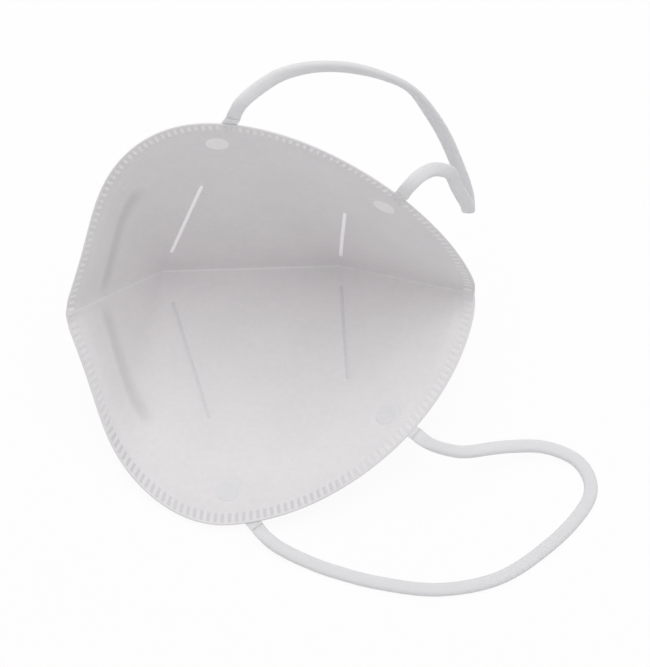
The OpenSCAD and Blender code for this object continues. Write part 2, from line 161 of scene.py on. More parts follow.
@dataclass(frozen=True)
class Pattern:
    """Flat pattern of one half: u along the fold from its nose end, v from the fold to the edge."""

    depth: float = 103.0 * MM
    peak: float = 22.0 * MM
    nose_seam: float = 62.0 * MM
    nose_turn: float = 180.0 - 36.5
    chin_seam: float = 61.5 * MM
    chin_turn: float = 180.0 - 32.0
    nose_edge_angle: float = 50.0
    nose_pull: float = 40.0 * MM
    peak_pull_nose: float = 28.0 * MM
    peak_pull_chin: float = 46.0 * MM
    chin_edge_angle: float = 85.0
    chin_pull: float = 40.0 * MM
    split: float = 30.0 * MM
    spare: float = 10.0 * MM
    samples: int = 160

    def seam(self, end: End) -> Pair:
        """Length of a seam, and its turn from the fold as seen from its end of the fold."""
        nose, chin = (self.nose_seam, self.nose_turn), (self.chin_seam, self.chin_turn)
        return nose if end is End.NOSE else chin

    def tip(self, end: End) -> Array:
        """Where a seam meets the edge."""
        length, turn = self.seam(end)
        return from_end(length * heading(turn), end)

    def seam_path(self) -> Array:
        """Nose seam, fold and chin seam as one path from tip to tip."""
        return np.array([self.tip(End.NOSE), [0.0, 0.0], [FOLD_LEN, 0.0], self.tip(End.CHIN)])

    def edge_path(self, inset: float = 0.0) -> Array:
        """The edge from nose tip to chin tip.

        Args:
            inset: Distance by which it is drawn in.

        Returns:
            Dense points of the curve.
        """
        nose, chin, peak = self.tip(End.NOSE), self.tip(End.CHIN), np.array([self.peak, self.depth])
        runs = [
            (nose, nose + self.nose_pull * heading(self.nose_edge_angle),
             peak - [self.peak_pull_nose, 0.0], peak),
            (peak, peak + [self.peak_pull_chin, 0.0],
             chin + self.chin_pull * heading(180.0 - self.chin_edge_angle), chin),
        ]
        s = np.linspace(0.0, 1.0, self.samples)[:, None]
        points, tangents = [], []
        for a, b, c, d in runs:
            points.append((1 - s) ** 3 * a + 3 * s * (1 - s) ** 2 * b
                          + 3 * s * s * (1 - s) * c + s**3 * d)
            tangents.append((1 - s) ** 2 * (b - a) + 2 * s * (1 - s) * (c - b) + s * s * (d - c))
        tangent = unit(np.concatenate([tangents[0], tangents[1][1:]]))
        square = np.stack([tangent[:, 1], -tangent[:, 0]], axis=1)
        return np.concatenate([points[0], points[1][1:]]) + inset * square

    def run(self, end: End, inset: float) -> Array:
        """One end's stretch of the edge, from the split to the seam.

        Args:
            end: Nose or chin end.
            inset: Distance inside the edge.

        Returns:
            Dense points of the stretch.
        """
        path = self.edge_path(inset)
        head, tail = unit(path[0] - path[1]), unit(path[-1] - path[-2])
        path = np.array([path[0] + self.spare * head, *path, path[-1] + self.spare * tail])
        past = path[:, 0] - self.split
        if end is End.NOSE:
            path, past = path[::-1], -past[::-1]
        near = from_end(path, end)
        over = np.arctan2(near[:, 1], near[:, 0]) - math.radians(self.seam(end)[1])
        first, stop = int(np.argmax(past > 0.0)), int(np.argmax(over > 0.0))
        ends = []
        for k, gauge in ((first, past), (stop, over)):
            share = gauge[k - 1] / (gauge[k - 1] - gauge[k])
            ends.append(path[k - 1] + share * (path[k] - path[k - 1]))
        return np.array([ends[0], *path[first:stop], ends[1]])


PATTERN = Pattern()


@dataclass
class Fan:
    """Smooth cone about one end of the fold, from the cheek over into the nose or chin panel."""

    seam_angle: float
    bend_centre: float
    bend_half: float
    least_bend: float = 0.05
    most_bend: float = 2.5
    nearness: float = 1e-7
    steps: int = 720
    turn: Array = field(init=False)
    reach: Array = field(init=False)
    face: Array = field(init=False)

    def __post_init__(self) -> None:
        """Finds the bend that brings the seam into the plane between the halves."""
        self.turn = np.linspace(0.0, math.radians(self.seam_angle), self.steps + 1)
        off = (np.degrees(self.turn) - self.bend_centre) / self.bend_half
        shape = np.where(np.abs(off) < 1.0, 0.5 + 0.5 * np.cos(np.pi * off), 0.0)
        shape /= shape.sum() * (self.turn[1] - self.turn[0])
        low, high = self.least_bend, self.most_bend
        while high - low > self.nearness:
            bend = (low + high) / 2.0
            self.sweep(bend * shape)
            if self.reach[-1] @ MID_NORMAL < 0.0:
                low = bend
            else:
                high = bend
        LOG.info("fan to %.1f degrees bends by %.1f degrees", self.seam_angle, math.degrees(low))

    def sweep(self, curve: Array) -> None:
        """Follows the rays from the fold to the seam.

        Args:
            curve: Bend of the cone at each ray.
        """
        step = self.turn[1] - self.turn[0]
        axes = np.array([[1.0, 0.0, 0.0], [0.0, -1.0, 0.0], [0.0, 0.0, 1.0]])
        reach, face = [axes[0]], [axes[2]]
        for k in (curve[1:] + curve[:-1]) / 2.0:
            spin = np.array([[0.0, 1.0, 0.0], [-1.0, 0.0, k], [0.0, -k, 0.0]]) * step
            size = math.sqrt(1.0 + k * k) * step
            turn = np.eye(3) + math.sin(size) / size * spin
            turn += (1.0 - math.cos(size)) / size**2 * (spin @ spin)
            axes = turn @ axes
            reach.append(axes[0])
            face.append(axes[2])
        self.reach, self.face = np.array(reach), np.array(face)

    def bend(self, along: Array, out: Array) -> tuple[Array, Array]:
        """Carries flat points onto the cone.

        Args:
            along: Distance along the fold from this end of it.
            out: Distance from the fold.

        Returns:
            Places relative to this end of the fold, and the inward normals there.
        """
        turn, radius = np.arctan2(out, along), np.hypot(along, out)
        place, normal = (
            np.stack([np.interp(turn, self.turn, row) for row in table.T], axis=1)
            for table in (self.reach, self.face)
        )
        return place * radius[:, None], normal


@dataclass(frozen=True)
class Mark:
    """A straight mark on the flat pattern."""

    start: Pair
    angle: float
    length: float

    @property
    def path(self) -> Array:
        """Its two ends."""
        return np.array([self.start, self.start + self.length * heading(self.angle)])


RIBS = {
    End.NOSE: Mark((3.5 * MM, 13.0 * MM), 76.0, 49.0 * MM),
    End.CHIN: Mark((64.3 * MM, 9.0 * MM), 88.5, 42.0 * MM),
}
SPOTS = {End.NOSE: (21.0 * MM, 90.0 * MM), End.CHIN: (79.5 * MM, 70.5 * MM)}
TABS = {
    (Side.LEFT, End.NOSE): Mark(SPOTS[End.NOSE], 56.0, 17.0 * MM),
    (Side.LEFT, End.CHIN): Mark(SPOTS[End.CHIN], 46.0, 15.0 * MM),
    (Side.RIGHT, End.NOSE): Mark(SPOTS[End.NOSE], 72.0, 17.0 * MM),
    (Side.RIGHT, End.CHIN): Mark(SPOTS[End.CHIN], 66.0, 15.0 * MM),
}
STRIP_INSET = 19.5 * MM
STRIP_GAP = 3.3 * MM
STRIP_ANGLE = 57.0
STRIP_FOOT = ((PATTERN.nose_seam - STRIP_INSET) * heading(PATTERN.nose_turn)
              + STRIP_GAP * heading(STRIP_ANGLE))
STRIP = Mark((STRIP_FOOT[0], STRIP_FOOT[1]), STRIP_ANGLE, 42.0 * MM)


@dataclass(frozen=True)
class Skin:
    """Heights of the fabric's two faces over the flat pattern, thin at welds, seams and edge."""

    hinge_gap: float = 0.3 * MM
    wall: float = 2.0 * MM
    weld_width: float = 5.0 * MM
    weld_thick: float = 0.75 * MM
    weld_lap: float = 0.4 * MM
    weld_ramp: float = 4.0 * MM
    seam_ramp: float = 3.0 * MM
    seam_wall: float = 0.9 * MM
    bead: float = 0.15 * MM
    bead_reach: float = 1.5 * MM
    outer_ramp: float = 6.0 * MM
    rib_dip: float = 0.3 * MM
    rib_reach: float = 1.6 * MM
    spot_radius: float = 4.0 * MM
    spot_dip: float = 0.4 * MM
    spot_reach: float = 2.5 * MM
    strip_dip: float = 0.3 * MM
    strip_reach: float = 3.2 * MM
    tab_face: float = 1.68 * MM
    tab_reach: float = 2.6 * MM
    tab_ramp: float = 1.5 * MM
    ripple: float = 0.5 * MM
    ripple_ramp: float = 25.0 * MM
    slow_wave: float = 9.0
    slow_sway: float = 13.0
    slow_start: float = 0.6
    cross_wave: float = 11.0
    cross_lean: float = 23.0
    cross_start: float = 1.9
    sway: float = 0.35

    def heights(self, flat: Array, side: Side) -> tuple[Array, Array]:
        """Heights of the inner and outer face.

        Args:
            flat: Points of the flat pattern, one row each.
            side: The half whose band ends press into the outer face.

        Returns:
            Heights of the inner face and of the outer face.
        """
        edge = to_path(flat, PATTERN.edge_path()[::2])
        seam = to_path(flat, PATTERN.seam_path())
        free = smooth((edge - self.weld_width + self.weld_lap) / self.weld_ramp)
        middle = self.hinge_gap + self.wall / 2.0
        welded = 1.0 - free
        inner = -(middle - self.weld_thick / 2.0) * welded - self.hinge_gap * free
        outer = -(middle + self.weld_thick / 2.0) * welded - (self.hinge_gap + self.wall) * free
        inner *= smooth(seam / self.seam_ramp)
        inner += self.bead * (1.0 - smooth(seam / self.bead_reach))
        near = 1.0 - smooth(seam / self.outer_ramp)
        outer = outer * (1.0 - near) - self.seam_wall * near
        for rib in RIBS.values():
            inner -= self.rib_dip * np.exp(-((to_path(flat, rib.path) / self.rib_reach) ** 2))
        for spot in SPOTS.values():
            off = np.linalg.norm(flat - spot, axis=1) - self.spot_radius
            inner -= self.spot_dip * (1.0 - smooth(off / self.spot_reach))
        strip = to_path(flat, STRIP.path) / self.strip_reach
        inner -= self.strip_dip * np.exp(-(strip**2)) * free
        for end in End:
            off = to_path(flat, TABS[side, end].path) - self.tab_reach
            close = 1.0 - smooth(off / self.tab_ramp)
            outer = outer * (1.0 - close) + np.maximum(outer, -self.tab_face) * close
        wave = self.ripples(flat)
        return inner + wave, outer + wave

    def ripples(self, flat: Array) -> Array:
        """Soft unevenness of the fabric away from its seams.

        Args:
            flat: Points of the flat pattern, one row each.

        Returns:
            Height of each, never below the surface that the fabric lies on.
        """
        u, v = flat.T / MM
        sway = self.sway * np.sin(v / self.slow_sway)
        slow = np.sin(u / self.slow_wave + sway + self.slow_start)
        cross = np.sin(v / self.cross_wave - u / self.cross_lean + self.cross_start)
        calm = smooth(to_path(flat, PATTERN.seam_path()) / self.ripple_ramp)
        return self.ripple * (0.5 + 0.25 * slow + 0.25 * cross) * calm


SKIN = Skin()
BLEND_REACH = {End.NOSE: (12.0 * MM, 18.0 * MM), End.CHIN: (15.0 * MM, 20.0 * MM)}


@dataclass(frozen=True)
class Half:
    """One half of the mask as it lies: the flat pattern bent over into nose and chin panel."""

    side: Side
    fans: dict[End, Fan]

    def heights(self, flat: Array) -> tuple[Array, Array]:
        """Heights of the inner and outer face of this half at flat points."""
        return SKIN.heights(flat, self.side)

    def lay(self, flat: Array, height: Array) -> Array:
        """Carries flat points to their places in the frame.

        Args:
            flat: Points of the flat pattern, one row each.
            height: Height of each above the hinge surface, towards the inside.

        Returns:
            Places in the frame.
        """
        u, v = flat.T
        nose, nose_up = self.fans[End.NOSE].bend(u, v)
        chin, chin_up = self.fans[End.CHIN].bend(FOLD_LEN - u, v)
        plain = np.stack([u, -v, np.zeros_like(u)], axis=1)
        place = nose + chin * FLIP + [FOLD_LEN, 0.0, 0.0] - plain
        up = nose_up + chin_up * FLIP - [0.0, 0.0, 1.0]
        place += unit(up) * height[:, None]
        return (mirrored(place) if self.side is Side.RIGHT else place) + NOSE_END

    def seam_heading(self, end: End) -> Array:
        """Direction of a seam from its end of the fold."""
        reach = self.fans[end].reach[-1]
        return reach if end is End.NOSE else reach * FLIP

    def carry(self, piece: Piece, end: End) -> None:
        """Bakes a piece's transform into its mesh; the ends of its bend between the cheek and the
        nose or chin panel are worked out but not used.

        Args:
            piece: A finished piece that lies on this half.
            end: The panel that it reaches into.
        """
        joint = JOINTS[f"{end.value}_crease_{self.side.value}"]
        axis, pivot = np.array(joint["axis"]), np.array(joint["pos_m"])
        across = self.seam_heading(end)
        across = unit(across - (across @ axis) * axis)
        before, after = BLEND_REACH[end]
        tuple(pivot - before * across)
        tuple(pivot + after * across)
        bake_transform(piece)


class Sock:
    """A shader value that takes part in Python expressions."""

    def __init__(self, graph: Nodes, socket: bpy.types.NodeSocket) -> None:
        """Keeps the socket and the graph that new nodes go into."""
        self.graph = graph
        self.socket = socket

    def _math(self, operation: str, a: Number, b: Number) -> Sock:
        """Adds one Math node."""
        node = self.graph.add("ShaderNodeMath", {"operation": operation}, {0: a, 1: b})
        return self.graph.value(node)

    def __add__(self, other: Number) -> Sock:
        """Sum of two values."""
        return self._math("ADD", self, other)

    def __radd__(self, other: Number) -> Sock:
        """Sum with a number on the left."""
        return self._math("ADD", other, self)

    def __sub__(self, other: Number) -> Sock:
        """Difference of two values."""
        return self._math("SUBTRACT", self, other)

    def __rsub__(self, other: Number) -> Sock:
        """Difference from a number on the left."""
        return self._math("SUBTRACT", other, self)

    def __mul__(self, other: Number) -> Sock:
        """Product of two values."""
        return self._math("MULTIPLY", self, other)

    def __rmul__(self, other: Number) -> Sock:
        """Product with a number on the left."""
        return self._math("MULTIPLY", other, self)

    def sine(self) -> Sock:
        """Sine of a value."""
        return self._math("SINE", self, 0.0)

    def size(self) -> Sock:
        """Value without its sign."""
        return self._math("ABSOLUTE", self, 0.0)

    def either(self, other: Number) -> Sock:
        """Larger of two values."""
        return self._math("MAXIMUM", self, other)

    def between(self, low: float, high: float) -> Sock:
        """Smooth step of the value.

        Args:
            low: Value that gives 0.
            high: Value that gives 1.

        Returns:
            The step.
        """
        sockets = {"Value": self, "From Min": low, "From Max": high}
        node = self.graph.add("ShaderNodeMapRange", {"interpolation_type": "SMOOTHSTEP"}, sockets)
        return self.graph.value(node)


class Nodes:
    """A node tree that grows through one method."""

    def __init__(self, tree: bpy.types.NodeTree) -> None:
        """Empties the tree."""
        self.tree = tree
        self.tree.nodes.clear()

    def add(
        self, kind: str, settings: Values | None = None, sockets: Values | None = None
    ) -> bpy.types.Node:
        """Adds a node.

        Args:
            kind: Type of the node.
            settings: Properties of the node, set before its sockets.
            sockets: Values or links by socket name or number.

        Returns:
            The new node.
        """
        node = self.tree.nodes.new(kind)
        for name, value in (settings or {}).items():
            setattr(node, name, value)
        for name, value in (sockets or {}).items():
            self.feed(node.inputs[name], value)
        return node

    def feed(self, socket: bpy.types.NodeSocket, value: object) -> None:
        """Sets a socket to a number or links it.

        Args:
            socket: The input to fill.
            value: A number, a colour, a Sock or an output.
        """
        if isinstance(value, Sock):
            value = value.socket
        if isinstance(value, bpy.types.NodeSocket):
            self.tree.links.new(value, socket)
        else:
            socket.default_value = value

    def value(self, node: bpy.types.Node, output: object = 0) -> Sock:
        """An output of a node as a value for expressions."""
        return Sock(self, node.outputs[output])

    def backdrop_rays(self) -> Sock:
        """Finds the rays that show the backdrop: from the camera, off metal or through glass.

        Returns:
            One for those rays, zero for others.
        """
        rays = self.add("ShaderNodeLightPath")
        camera, glossy = self.value(rays, "Is Camera Ray"), self.value(rays, "Is Glossy Ray")
        return camera.either(glossy).either(self.value(rays, "Is Transmission Ray"))


class Graph(Nodes):
    """Node tree of one material with a Principled shader at its end."""

    def __init__(self, name: str) -> None:
        """Starts a material with only a shader and its output.

        Args:
            name: Name of the material.
        """
        self.material = bpy.data.materials.new(name)
        self.material.use_nodes = True
        super().__init__(self.material.node_tree)
        self.shader = self.add("ShaderNodeBsdfPrincipled")
        surface = {"Surface": self.shader.outputs[0]}
        self.output = self.add("ShaderNodeOutputMaterial", None, surface)

    def finish(self, **inputs: object) -> bpy.types.Material:
        """Fills the shader's inputs.

        Args:
            inputs: Values or links, with underscores for the spaces in their names.

        Returns:
            The finished material.
        """
        for name, value in inputs.items():
            self.feed(self.shader.inputs[name.replace("_", " ")], value)
        return self.material

    def flat(self) -> object:
        """Coordinates of the flat pattern."""
        return self.add("ShaderNodeUVMap", {"uv_map": FLAT_UV}).outputs[0]

    def parts(self, vector: object) -> list[Sock]:
        """The three numbers of a vector."""
        node = self.add("ShaderNodeSeparateXYZ", None, {"Vector": vector})
        return [self.value(node, k) for k in range(3)]

    def from_line(self, flat: object, start: Pair, angle: float) -> list[Sock]:
        """Distances along and across a line of the flat pattern.

        Args:
            flat: Flat coordinates.
            start: Flat place where the line starts.
            angle: Its direction from the fold's line.

        Returns:
            Distance along the line and distance across it.
        """
        turn = (0.0, 0.0, math.radians(angle))
        sockets = {"Vector": flat, "Location": (*start, 0.0), "Rotation": turn}
        node = self.add("ShaderNodeMapping", {"vector_type": "TEXTURE"}, sockets)
        return self.parts(node.outputs[0])[:2]

    def blend_colour(self, share: Sock, first: object, second: object) -> object:
        """Mixes two colours, each three numbers or an output.

        Args:
            share: Share of the second colour.
            first: Colour where the share is 0.
            second: Colour where the share is 1.

        Returns:
            The mixed colour.
        """
        first, second = ((*c, 1.0) if isinstance(c, tuple) else c for c in (first, second))
        node = self.add("ShaderNodeMix", {"data_type": "RGBA"}, {0: share, 6: first, 7: second})
        return node.outputs[2]

    def bump(self, height: Sock, depth: float, strength: float) -> object:
        """Normal from a height in the unit range."""
        sockets = {"Height": height, "Distance": depth, "Strength": strength}
        return self.add("ShaderNodeBump", None, sockets).outputs[0]

    def noise(self, vector: object, scale: float, detail: float = 3.0, rough: float = 0.5) -> Sock:
        """Noise value around one half."""
        sockets = {"Vector": vector, "Scale": scale, "Detail": detail, "Roughness": rough}
        return self.value(self.add("ShaderNodeTexNoise", None, sockets))

    def stretched(self, vector: object, scale: Triple, turn: float = 0.0) -> object:
        """Coordinates scaled and turned by a Mapping node."""
        sockets = {"Vector": vector, "Rotation": (0.0, 0.0, turn), "Scale": scale}
        return self.add("ShaderNodeMapping", None, sockets).outputs[0]


@dataclass(frozen=True)
class StripShade:
    """Shade of the nose strip behind the lining: sharp towards the edge, soft towards the cheek."""

    weight: float = 0.36
    tone: float = 0.6
    soft: Pair = (-8.5 * MM, -2.4 * MM)
    sharp: Pair = (-2.4 * MM, 0.6 * MM)
    foot: Pair = (-4.0 * MM, 5.0 * MM)
    head: Pair = (-6.0 * MM, 5.0 * MM)

    def share(self, g: Graph, flat: object) -> Sock:
        """How much of the shade lies at each place.

        Args:
            g: The material's nodes.
            flat: Flat coordinates.

        Returns:
            The share, from 0 to the shade's weight.
        """
        along, across = g.from_line(flat, STRIP.start, STRIP.angle)
        band = across.between(*self.soft) * (1.0 - across.between(*self.sharp))
        ends = along.between(*self.foot) * (1.0 - (along - STRIP.length).between(*self.head))
        return band * ends * self.weight


@dataclass(frozen=True)
class SeamLight:
    """Thin light lines where the halves meet: the fold, the chin seam and fainter the nose seam."""

    weight: float = 0.75
    colour: Colour = (0.97, 0.965, 0.97)
    line: Pair = (0.25 * MM, 0.8 * MM)
    chin: float = 0.7
    nose: float = 0.6

    def share(self, g: Graph, flat: object) -> Sock:
        """How much of the light lies at each place.

        Args:
            g: The material's nodes.
            flat: Flat coordinates.

        Returns:
            The share, from 0 to the light's weight.
        """
        first, second = (0.0, 0.0), (FOLD_LEN, 0.0)
        lines = [(first, 0.0), (second, 180.0 - PATTERN.chin_turn), (first, PATTERN.nose_turn)]
        offs = (g.from_line(flat, *line)[1].size() for line in lines)
        fold, chin, nose = (1.0 - off.between(*self.line) for off in offs)
        return fold.either(self.chin * chin).either(self.nose * nose) * self.weight


@dataclass(frozen=True)
class Nonwoven:
    """Bonded fibre web: point bonds in a diamond grid, loose fibres between and faint clouds."""

    name: str
    light: Colour
    dark: Colour
    bond_pitch: float = 1.1 * MM
    bond_squash: float = 0.7
    bond_turn: float = 45.0
    bond_scatter: float = 0.12
    bond_edge: Pair = (0.18, 0.36)
    relief_depth: float = 0.11 * MM
    relief_strength: float = 0.35
    fibre_scale: float = 5200.0
    cross_scale: float = 4700.0
    fibre_turn: float = 0.5
    cross_turn: float = -0.35
    fibre_stretch: float = 0.16
    cloud_scale: float = 55.0
    speck_scale: float = 420.0
    tones: Pair = (0.36, 0.64)
    rough: float = 0.85
    sheen: float = 0.12
    shade: StripShade | None = None
    seams: SeamLight | None = None

    def material(self) -> bpy.types.Material:
        """The finish as a material on the flat pattern's coordinates.

        Returns:
            The new material.
        """
        g = Graph(self.name)
        flat = g.flat()
        grid = g.stretched(flat, (1.0, self.bond_squash, 1.0), math.radians(self.bond_turn))
        scale, scatter = 1.0 / self.bond_pitch, self.bond_scatter
        cells = {"Vector": grid, "Scale": scale, "Randomness": scatter}
        spots = g.value(g.add("ShaderNodeTexVoronoi", {"feature": "F1"}, cells))
        bonds = spots.between(*self.bond_edge)
        thin = self.fibre_stretch
        lie = g.stretched(flat, (1.0, thin, 1.0), self.fibre_turn)
        fibres = g.noise(lie, self.fibre_scale, detail=2.0, rough=0.6)
        lie = g.stretched(flat, (thin, 1.0, 1.0), self.cross_turn)
        crossing = g.noise(lie, self.cross_scale, detail=2.0, rough=0.6)
        clouds = g.noise(flat, self.cloud_scale, detail=4.0, rough=0.55)
        specks = g.noise(flat, self.speck_scale, detail=2.0, rough=0.6)
        tone = (0.55 * clouds + 0.45 * specks).between(*self.tones)
        relief = 0.5 * bonds + 0.25 * fibres + 0.25 * crossing
        colour = g.blend_colour(tone * 0.8 + 0.2 * bonds, self.dark, self.light)
        if self.shade is not None:
            shaded = tuple(self.shade.tone * c for c in self.dark)
            colour = g.blend_colour(self.shade.share(g, flat), colour, shaded)
        if self.seams is not None:
            colour = g.blend_colour(self.seams.share(g, flat), colour, self.seams.colour)
        return g.finish(
            Base_Color=colour,
            Roughness=self.rough,
            Specular_IOR_Level=0.25,
            Sheen_Weight=self.sheen,
            Sheen_Roughness=0.5,
            Normal=g.bump(relief, self.relief_depth, self.relief_strength),
        )


@dataclass(frozen=True)
class Fused:
    """Fabric melted by the weld: smoother and closer than the web, and light comes through it; its
    glow is painted light, and it takes painted shade where it lies on the table.
    """

    name: str
    light: Colour
    dark: Colour
    rough: float = 0.42
    rough_spread: float = 0.16
    through: float = 0.0
    reach: float = 1.2 * MM
    # painted light: emission strength that stands in for light coming through the weld
    glow: float = 0.0
    # painted shade: colour where the piece lies low over the table, and the heights over which it
    # fades out
    painted_table_shade: Colour | None = None
    lying_heights: Pair = (9.0 * MM, 20.0 * MM)
    cloud_scale: float = 900.0
    grain_scale: float = 4200.0
    tones: Pair = (0.35, 0.65)
    relief_depth: float = 0.04 * MM
    relief_strength: float = 0.3

    def material(self) -> bpy.types.Material:
        """The finish as a material on object coordinates, with painted shade where it lies low over
        the table.

        Returns:
            The new material.
        """
        g = Graph(self.name)
        place = g.add("ShaderNodeTexCoord").outputs["Object"]
        clouds = g.noise(place, self.cloud_scale)
        grain = g.noise(place, self.grain_scale, detail=2.0)
        colour = g.blend_colour(clouds.between(*self.tones), self.dark, self.light)
        # painted shade: darker colour where the piece lies low over the table
        if self.painted_table_shade is not None:
            height = g.parts(place)[2].between(*self.lying_heights)
            colour = g.blend_colour(height, self.painted_table_shade, colour)
        return g.finish(
            Base_Color=colour,
            Roughness=self.rough + self.rough_spread * grain,
            Specular_IOR_Level=0.35,
            Subsurface_Weight=self.through,
            Subsurface_Radius=(1.0, 1.0, 1.0),
            Subsurface_Scale=self.reach,
            # painted light: a glow in the finish's light tone, standing in for light through the
            # weld
            Emission_Color=(*self.light, 1.0),
            Emission_Strength=self.glow,
            Normal=g.bump(0.6 * grain + 0.4 * clouds, self.relief_depth, self.relief_strength),
        )


@dataclass(frozen=True)
class Knit:
    """Knitted elastic band: ribs along the band with rows of small loops."""

    name: str
    light: Colour
    dark: Colour
    ribs: int = 16
    row: float = 0.55 * MM
    lean: float = 1.2
    fuzz_scale: float = 2600.0
    fuzz_stretch: float = 0.02
    tones: Pair = (0.15, 0.85)
    through: float = 0.6
    reach: float = 2.0 * MM
    relief_depth: float = 0.12 * MM
    relief_strength: float = 0.5

    def material(self) -> bpy.types.Material:
        """The finish as a material on the band's own length and girth.

        Returns:
            The new material.
        """
        g = Graph(self.name)
        flat = g.flat()
        along, girth = g.parts(flat)[:2]
        wale = (girth * (math.pi * self.ribs)).sine().size()
        lean = (girth * (2.0 * math.pi * self.ribs)).sine()
        rows = (along * (2.0 * math.pi / self.row) + self.lean * lean).sine() * 0.5 + 0.5
        lie = g.stretched(flat, (1.0, self.fuzz_stretch, 1.0))
        fuzz = g.noise(lie, self.fuzz_scale, detail=2.0)
        relief = 0.55 * wale + 0.3 * rows + 0.15 * fuzz
        # painted shade: the colour follows the relief, darker in the grooves between the ribs and
        # rows
        return g.finish(
            Base_Color=g.blend_colour(relief.between(*self.tones), self.dark, self.light),
            Roughness=0.8,
            Specular_IOR_Level=0.3,
            Subsurface_Weight=self.through,
            Subsurface_Radius=(1.0, 1.0, 1.0),
            Subsurface_Scale=self.reach,
            Sheen_Weight=0.2,
            Sheen_Roughness=0.4,
            Normal=g.bump(relief, self.relief_depth, self.relief_strength),
        )


@dataclass(frozen=True)
class Aluminium:
    """Soft rolled aluminium with fine rolling lines."""

    name: str
    light: Colour = (0.80, 0.81, 0.82)
    dark: Colour = (0.68, 0.69, 0.70)
    line_scale: float = 3800.0
    line_stretch: float = 0.04
    stain_scale: float = 160.0
    tones: Pair = (0.3, 0.7)
    rough: float = 0.26
    rough_spread: float = 0.2
    relief_depth: float = 0.03 * MM
    relief_strength: float = 0.25

    def material(self) -> bpy.types.Material:
        """The finish as a material on the strip's own length and width.

        Returns:
            The new material.
        """
        g = Graph(self.name)
        flat = g.flat()
        lines = g.noise(g.stretched(flat, (self.line_stretch, 1.0, 1.0)), self.line_scale)
        stains = g.noise(flat, self.stain_scale)
        return g.finish(
            Base_Color=g.blend_colour(stains.between(*self.tones), self.dark, self.light),
            Metallic=1.0,
            Roughness=self.rough + self.rough_spread * lines,
            Normal=g.bump(lines, self.relief_depth, self.relief_strength),
        )


FINISHES = {
    "lining": Nonwoven("lining_web", (0.885, 0.865, 0.878), (0.85, 0.83, 0.845),
                       shade=StripShade(), seams=SeamLight()),
    "cover": Nonwoven("cover_web", (0.87, 0.86, 0.87), (0.83, 0.82, 0.835)),
    "cotton": Nonwoven("cotton_web", (0.88, 0.88, 0.87), (0.84, 0.84, 0.83), sheen=0.3),
    "filter": Nonwoven("filter_web", (0.88, 0.88, 0.88), (0.86, 0.86, 0.86), rough=0.7),
    # painted shade: the left half's bars are a darker copy of the right half's, with painted shade
    # where they lie on the table; light comes through the right half's bars
    "bars_left": Fused("bars_over_table", (0.90, 0.90, 0.91), (0.88, 0.88, 0.89),
                       painted_table_shade=(0.71, 0.71, 0.735)),
    "bars_right": Fused("bars_lit_through", (0.96, 0.96, 0.97), (0.94, 0.94, 0.95), through=0.85),
    # painted shade and painted light: the left rib is a darker copy of the right rib, whose glow
    # stands in for light through the weld
    "rib_left": Fused("rib_over_table", (0.79, 0.79, 0.81), (0.75, 0.75, 0.77)),
    "rib_right": Fused("rib_lit_through", (0.96, 0.96, 0.97), (0.94, 0.94, 0.95), glow=0.16),
    # painted shade and painted light: the left spot is a darker copy of the right spot, whose glow
    # stands in for light through the weld
    "spot_left": Fused("spot_over_table", (0.83, 0.826, 0.846), (0.812, 0.81, 0.83), rough=0.6),
    "spot_right": Fused("spot_lit_through", (0.95, 0.94, 0.95), (0.93, 0.92, 0.93),
                        rough=0.6, glow=0.05),
    "fin": Fused("fused_fin", (0.84, 0.84, 0.85), (0.78, 0.78, 0.79)),
    "band": Knit("elastic_knit", (0.89, 0.88, 0.90), (0.79, 0.78, 0.80)),
    "strip": Aluminium("rolled_aluminium"),
}
Materials = dict[str, bpy.types.Material]


ALONG = (1.0, 0.0, 0.0)
ACROSS = (0.0, 1.0, 0.0)
UPRIGHT = 0.9
ROUND_END = 0.45
SOFT_ANGLE = 40.0


def clear() -> None:
    """Leaves edit mode with nothing selected."""
    if bpy.context.object is not None and bpy.context.object.mode != "OBJECT":
        bpy.ops.object.mode_set(mode="OBJECT")
    bpy.ops.object.select_all(action="DESELECT")


def edit(name: str) -> Piece:
    """Opens the new primitive in edit mode with all selected.

    Args:
        name: Name for it.

    Returns:
        The object.
    """
    piece = bpy.context.object
    piece.name = name
    bpy.ops.object.mode_set(mode="EDIT")
    bpy.ops.mesh.select_all(action="SELECT")
    return piece


def block(name: str, size: Triple) -> Piece:
    """A block that starts at the origin and runs along X.

    Args:
        name: Name of the piece.
        size: Its length, its width, and its thickness, half above and half below.

    Returns:
        The new object, left in edit mode with all selected.
    """
    clear()
    bpy.ops.mesh.primitive_cube_add(size=1.0, location=(0.0, 0.0, 0.0))
    piece = edit(name)
    bpy.ops.transform.translate(value=(0.5, 0.0, 0.0))
    bpy.ops.transform.resize(value=size, center_override=(0.0, 0.0, 0.0))
    return piece


def pick(piece: Piece, kind: str) -> None:
    """Selects in edit mode the edges that run along Z or the faces that look along it.

    Args:
        piece: The object in edit mode.
        kind: EDGE or FACE.
    """
    bpy.ops.mesh.select_mode(type=kind)
    bpy.ops.mesh.select_all(action="DESELECT")
    shape = bmesh.from_edit_mesh(piece.data)
    shape.normal_update()
    for edge in shape.edges if kind == "EDGE" else ():
        edge.select_set(abs((edge.verts[1].co - edge.verts[0].co).normalized().z) > UPRIGHT)
    for face in shape.faces if kind == "FACE" else ():
        face.select_set(abs(face.normal.z) > UPRIGHT)
    shape.select_flush_mode()
    bmesh.update_edit_mesh(piece.data)


def cut(way: Triple, places: list[float]) -> None:
    """Cuts the piece in edit mode.

    Args:
        way: Direction that the cuts are square to.
        places: Distances of the cuts from the origin.
    """
    for place in places:
        bpy.ops.mesh.select_all(action="SELECT")
        bpy.ops.mesh.bisect(plane_co=tuple(place * w for w in way), plane_no=way)


def cut_even(length: float, cell: float) -> None:
    """Cuts the piece in edit mode into even cells along X."""
    count = round(length / cell)
    cut(ALONG, [length * k / count for k in range(1, count)])


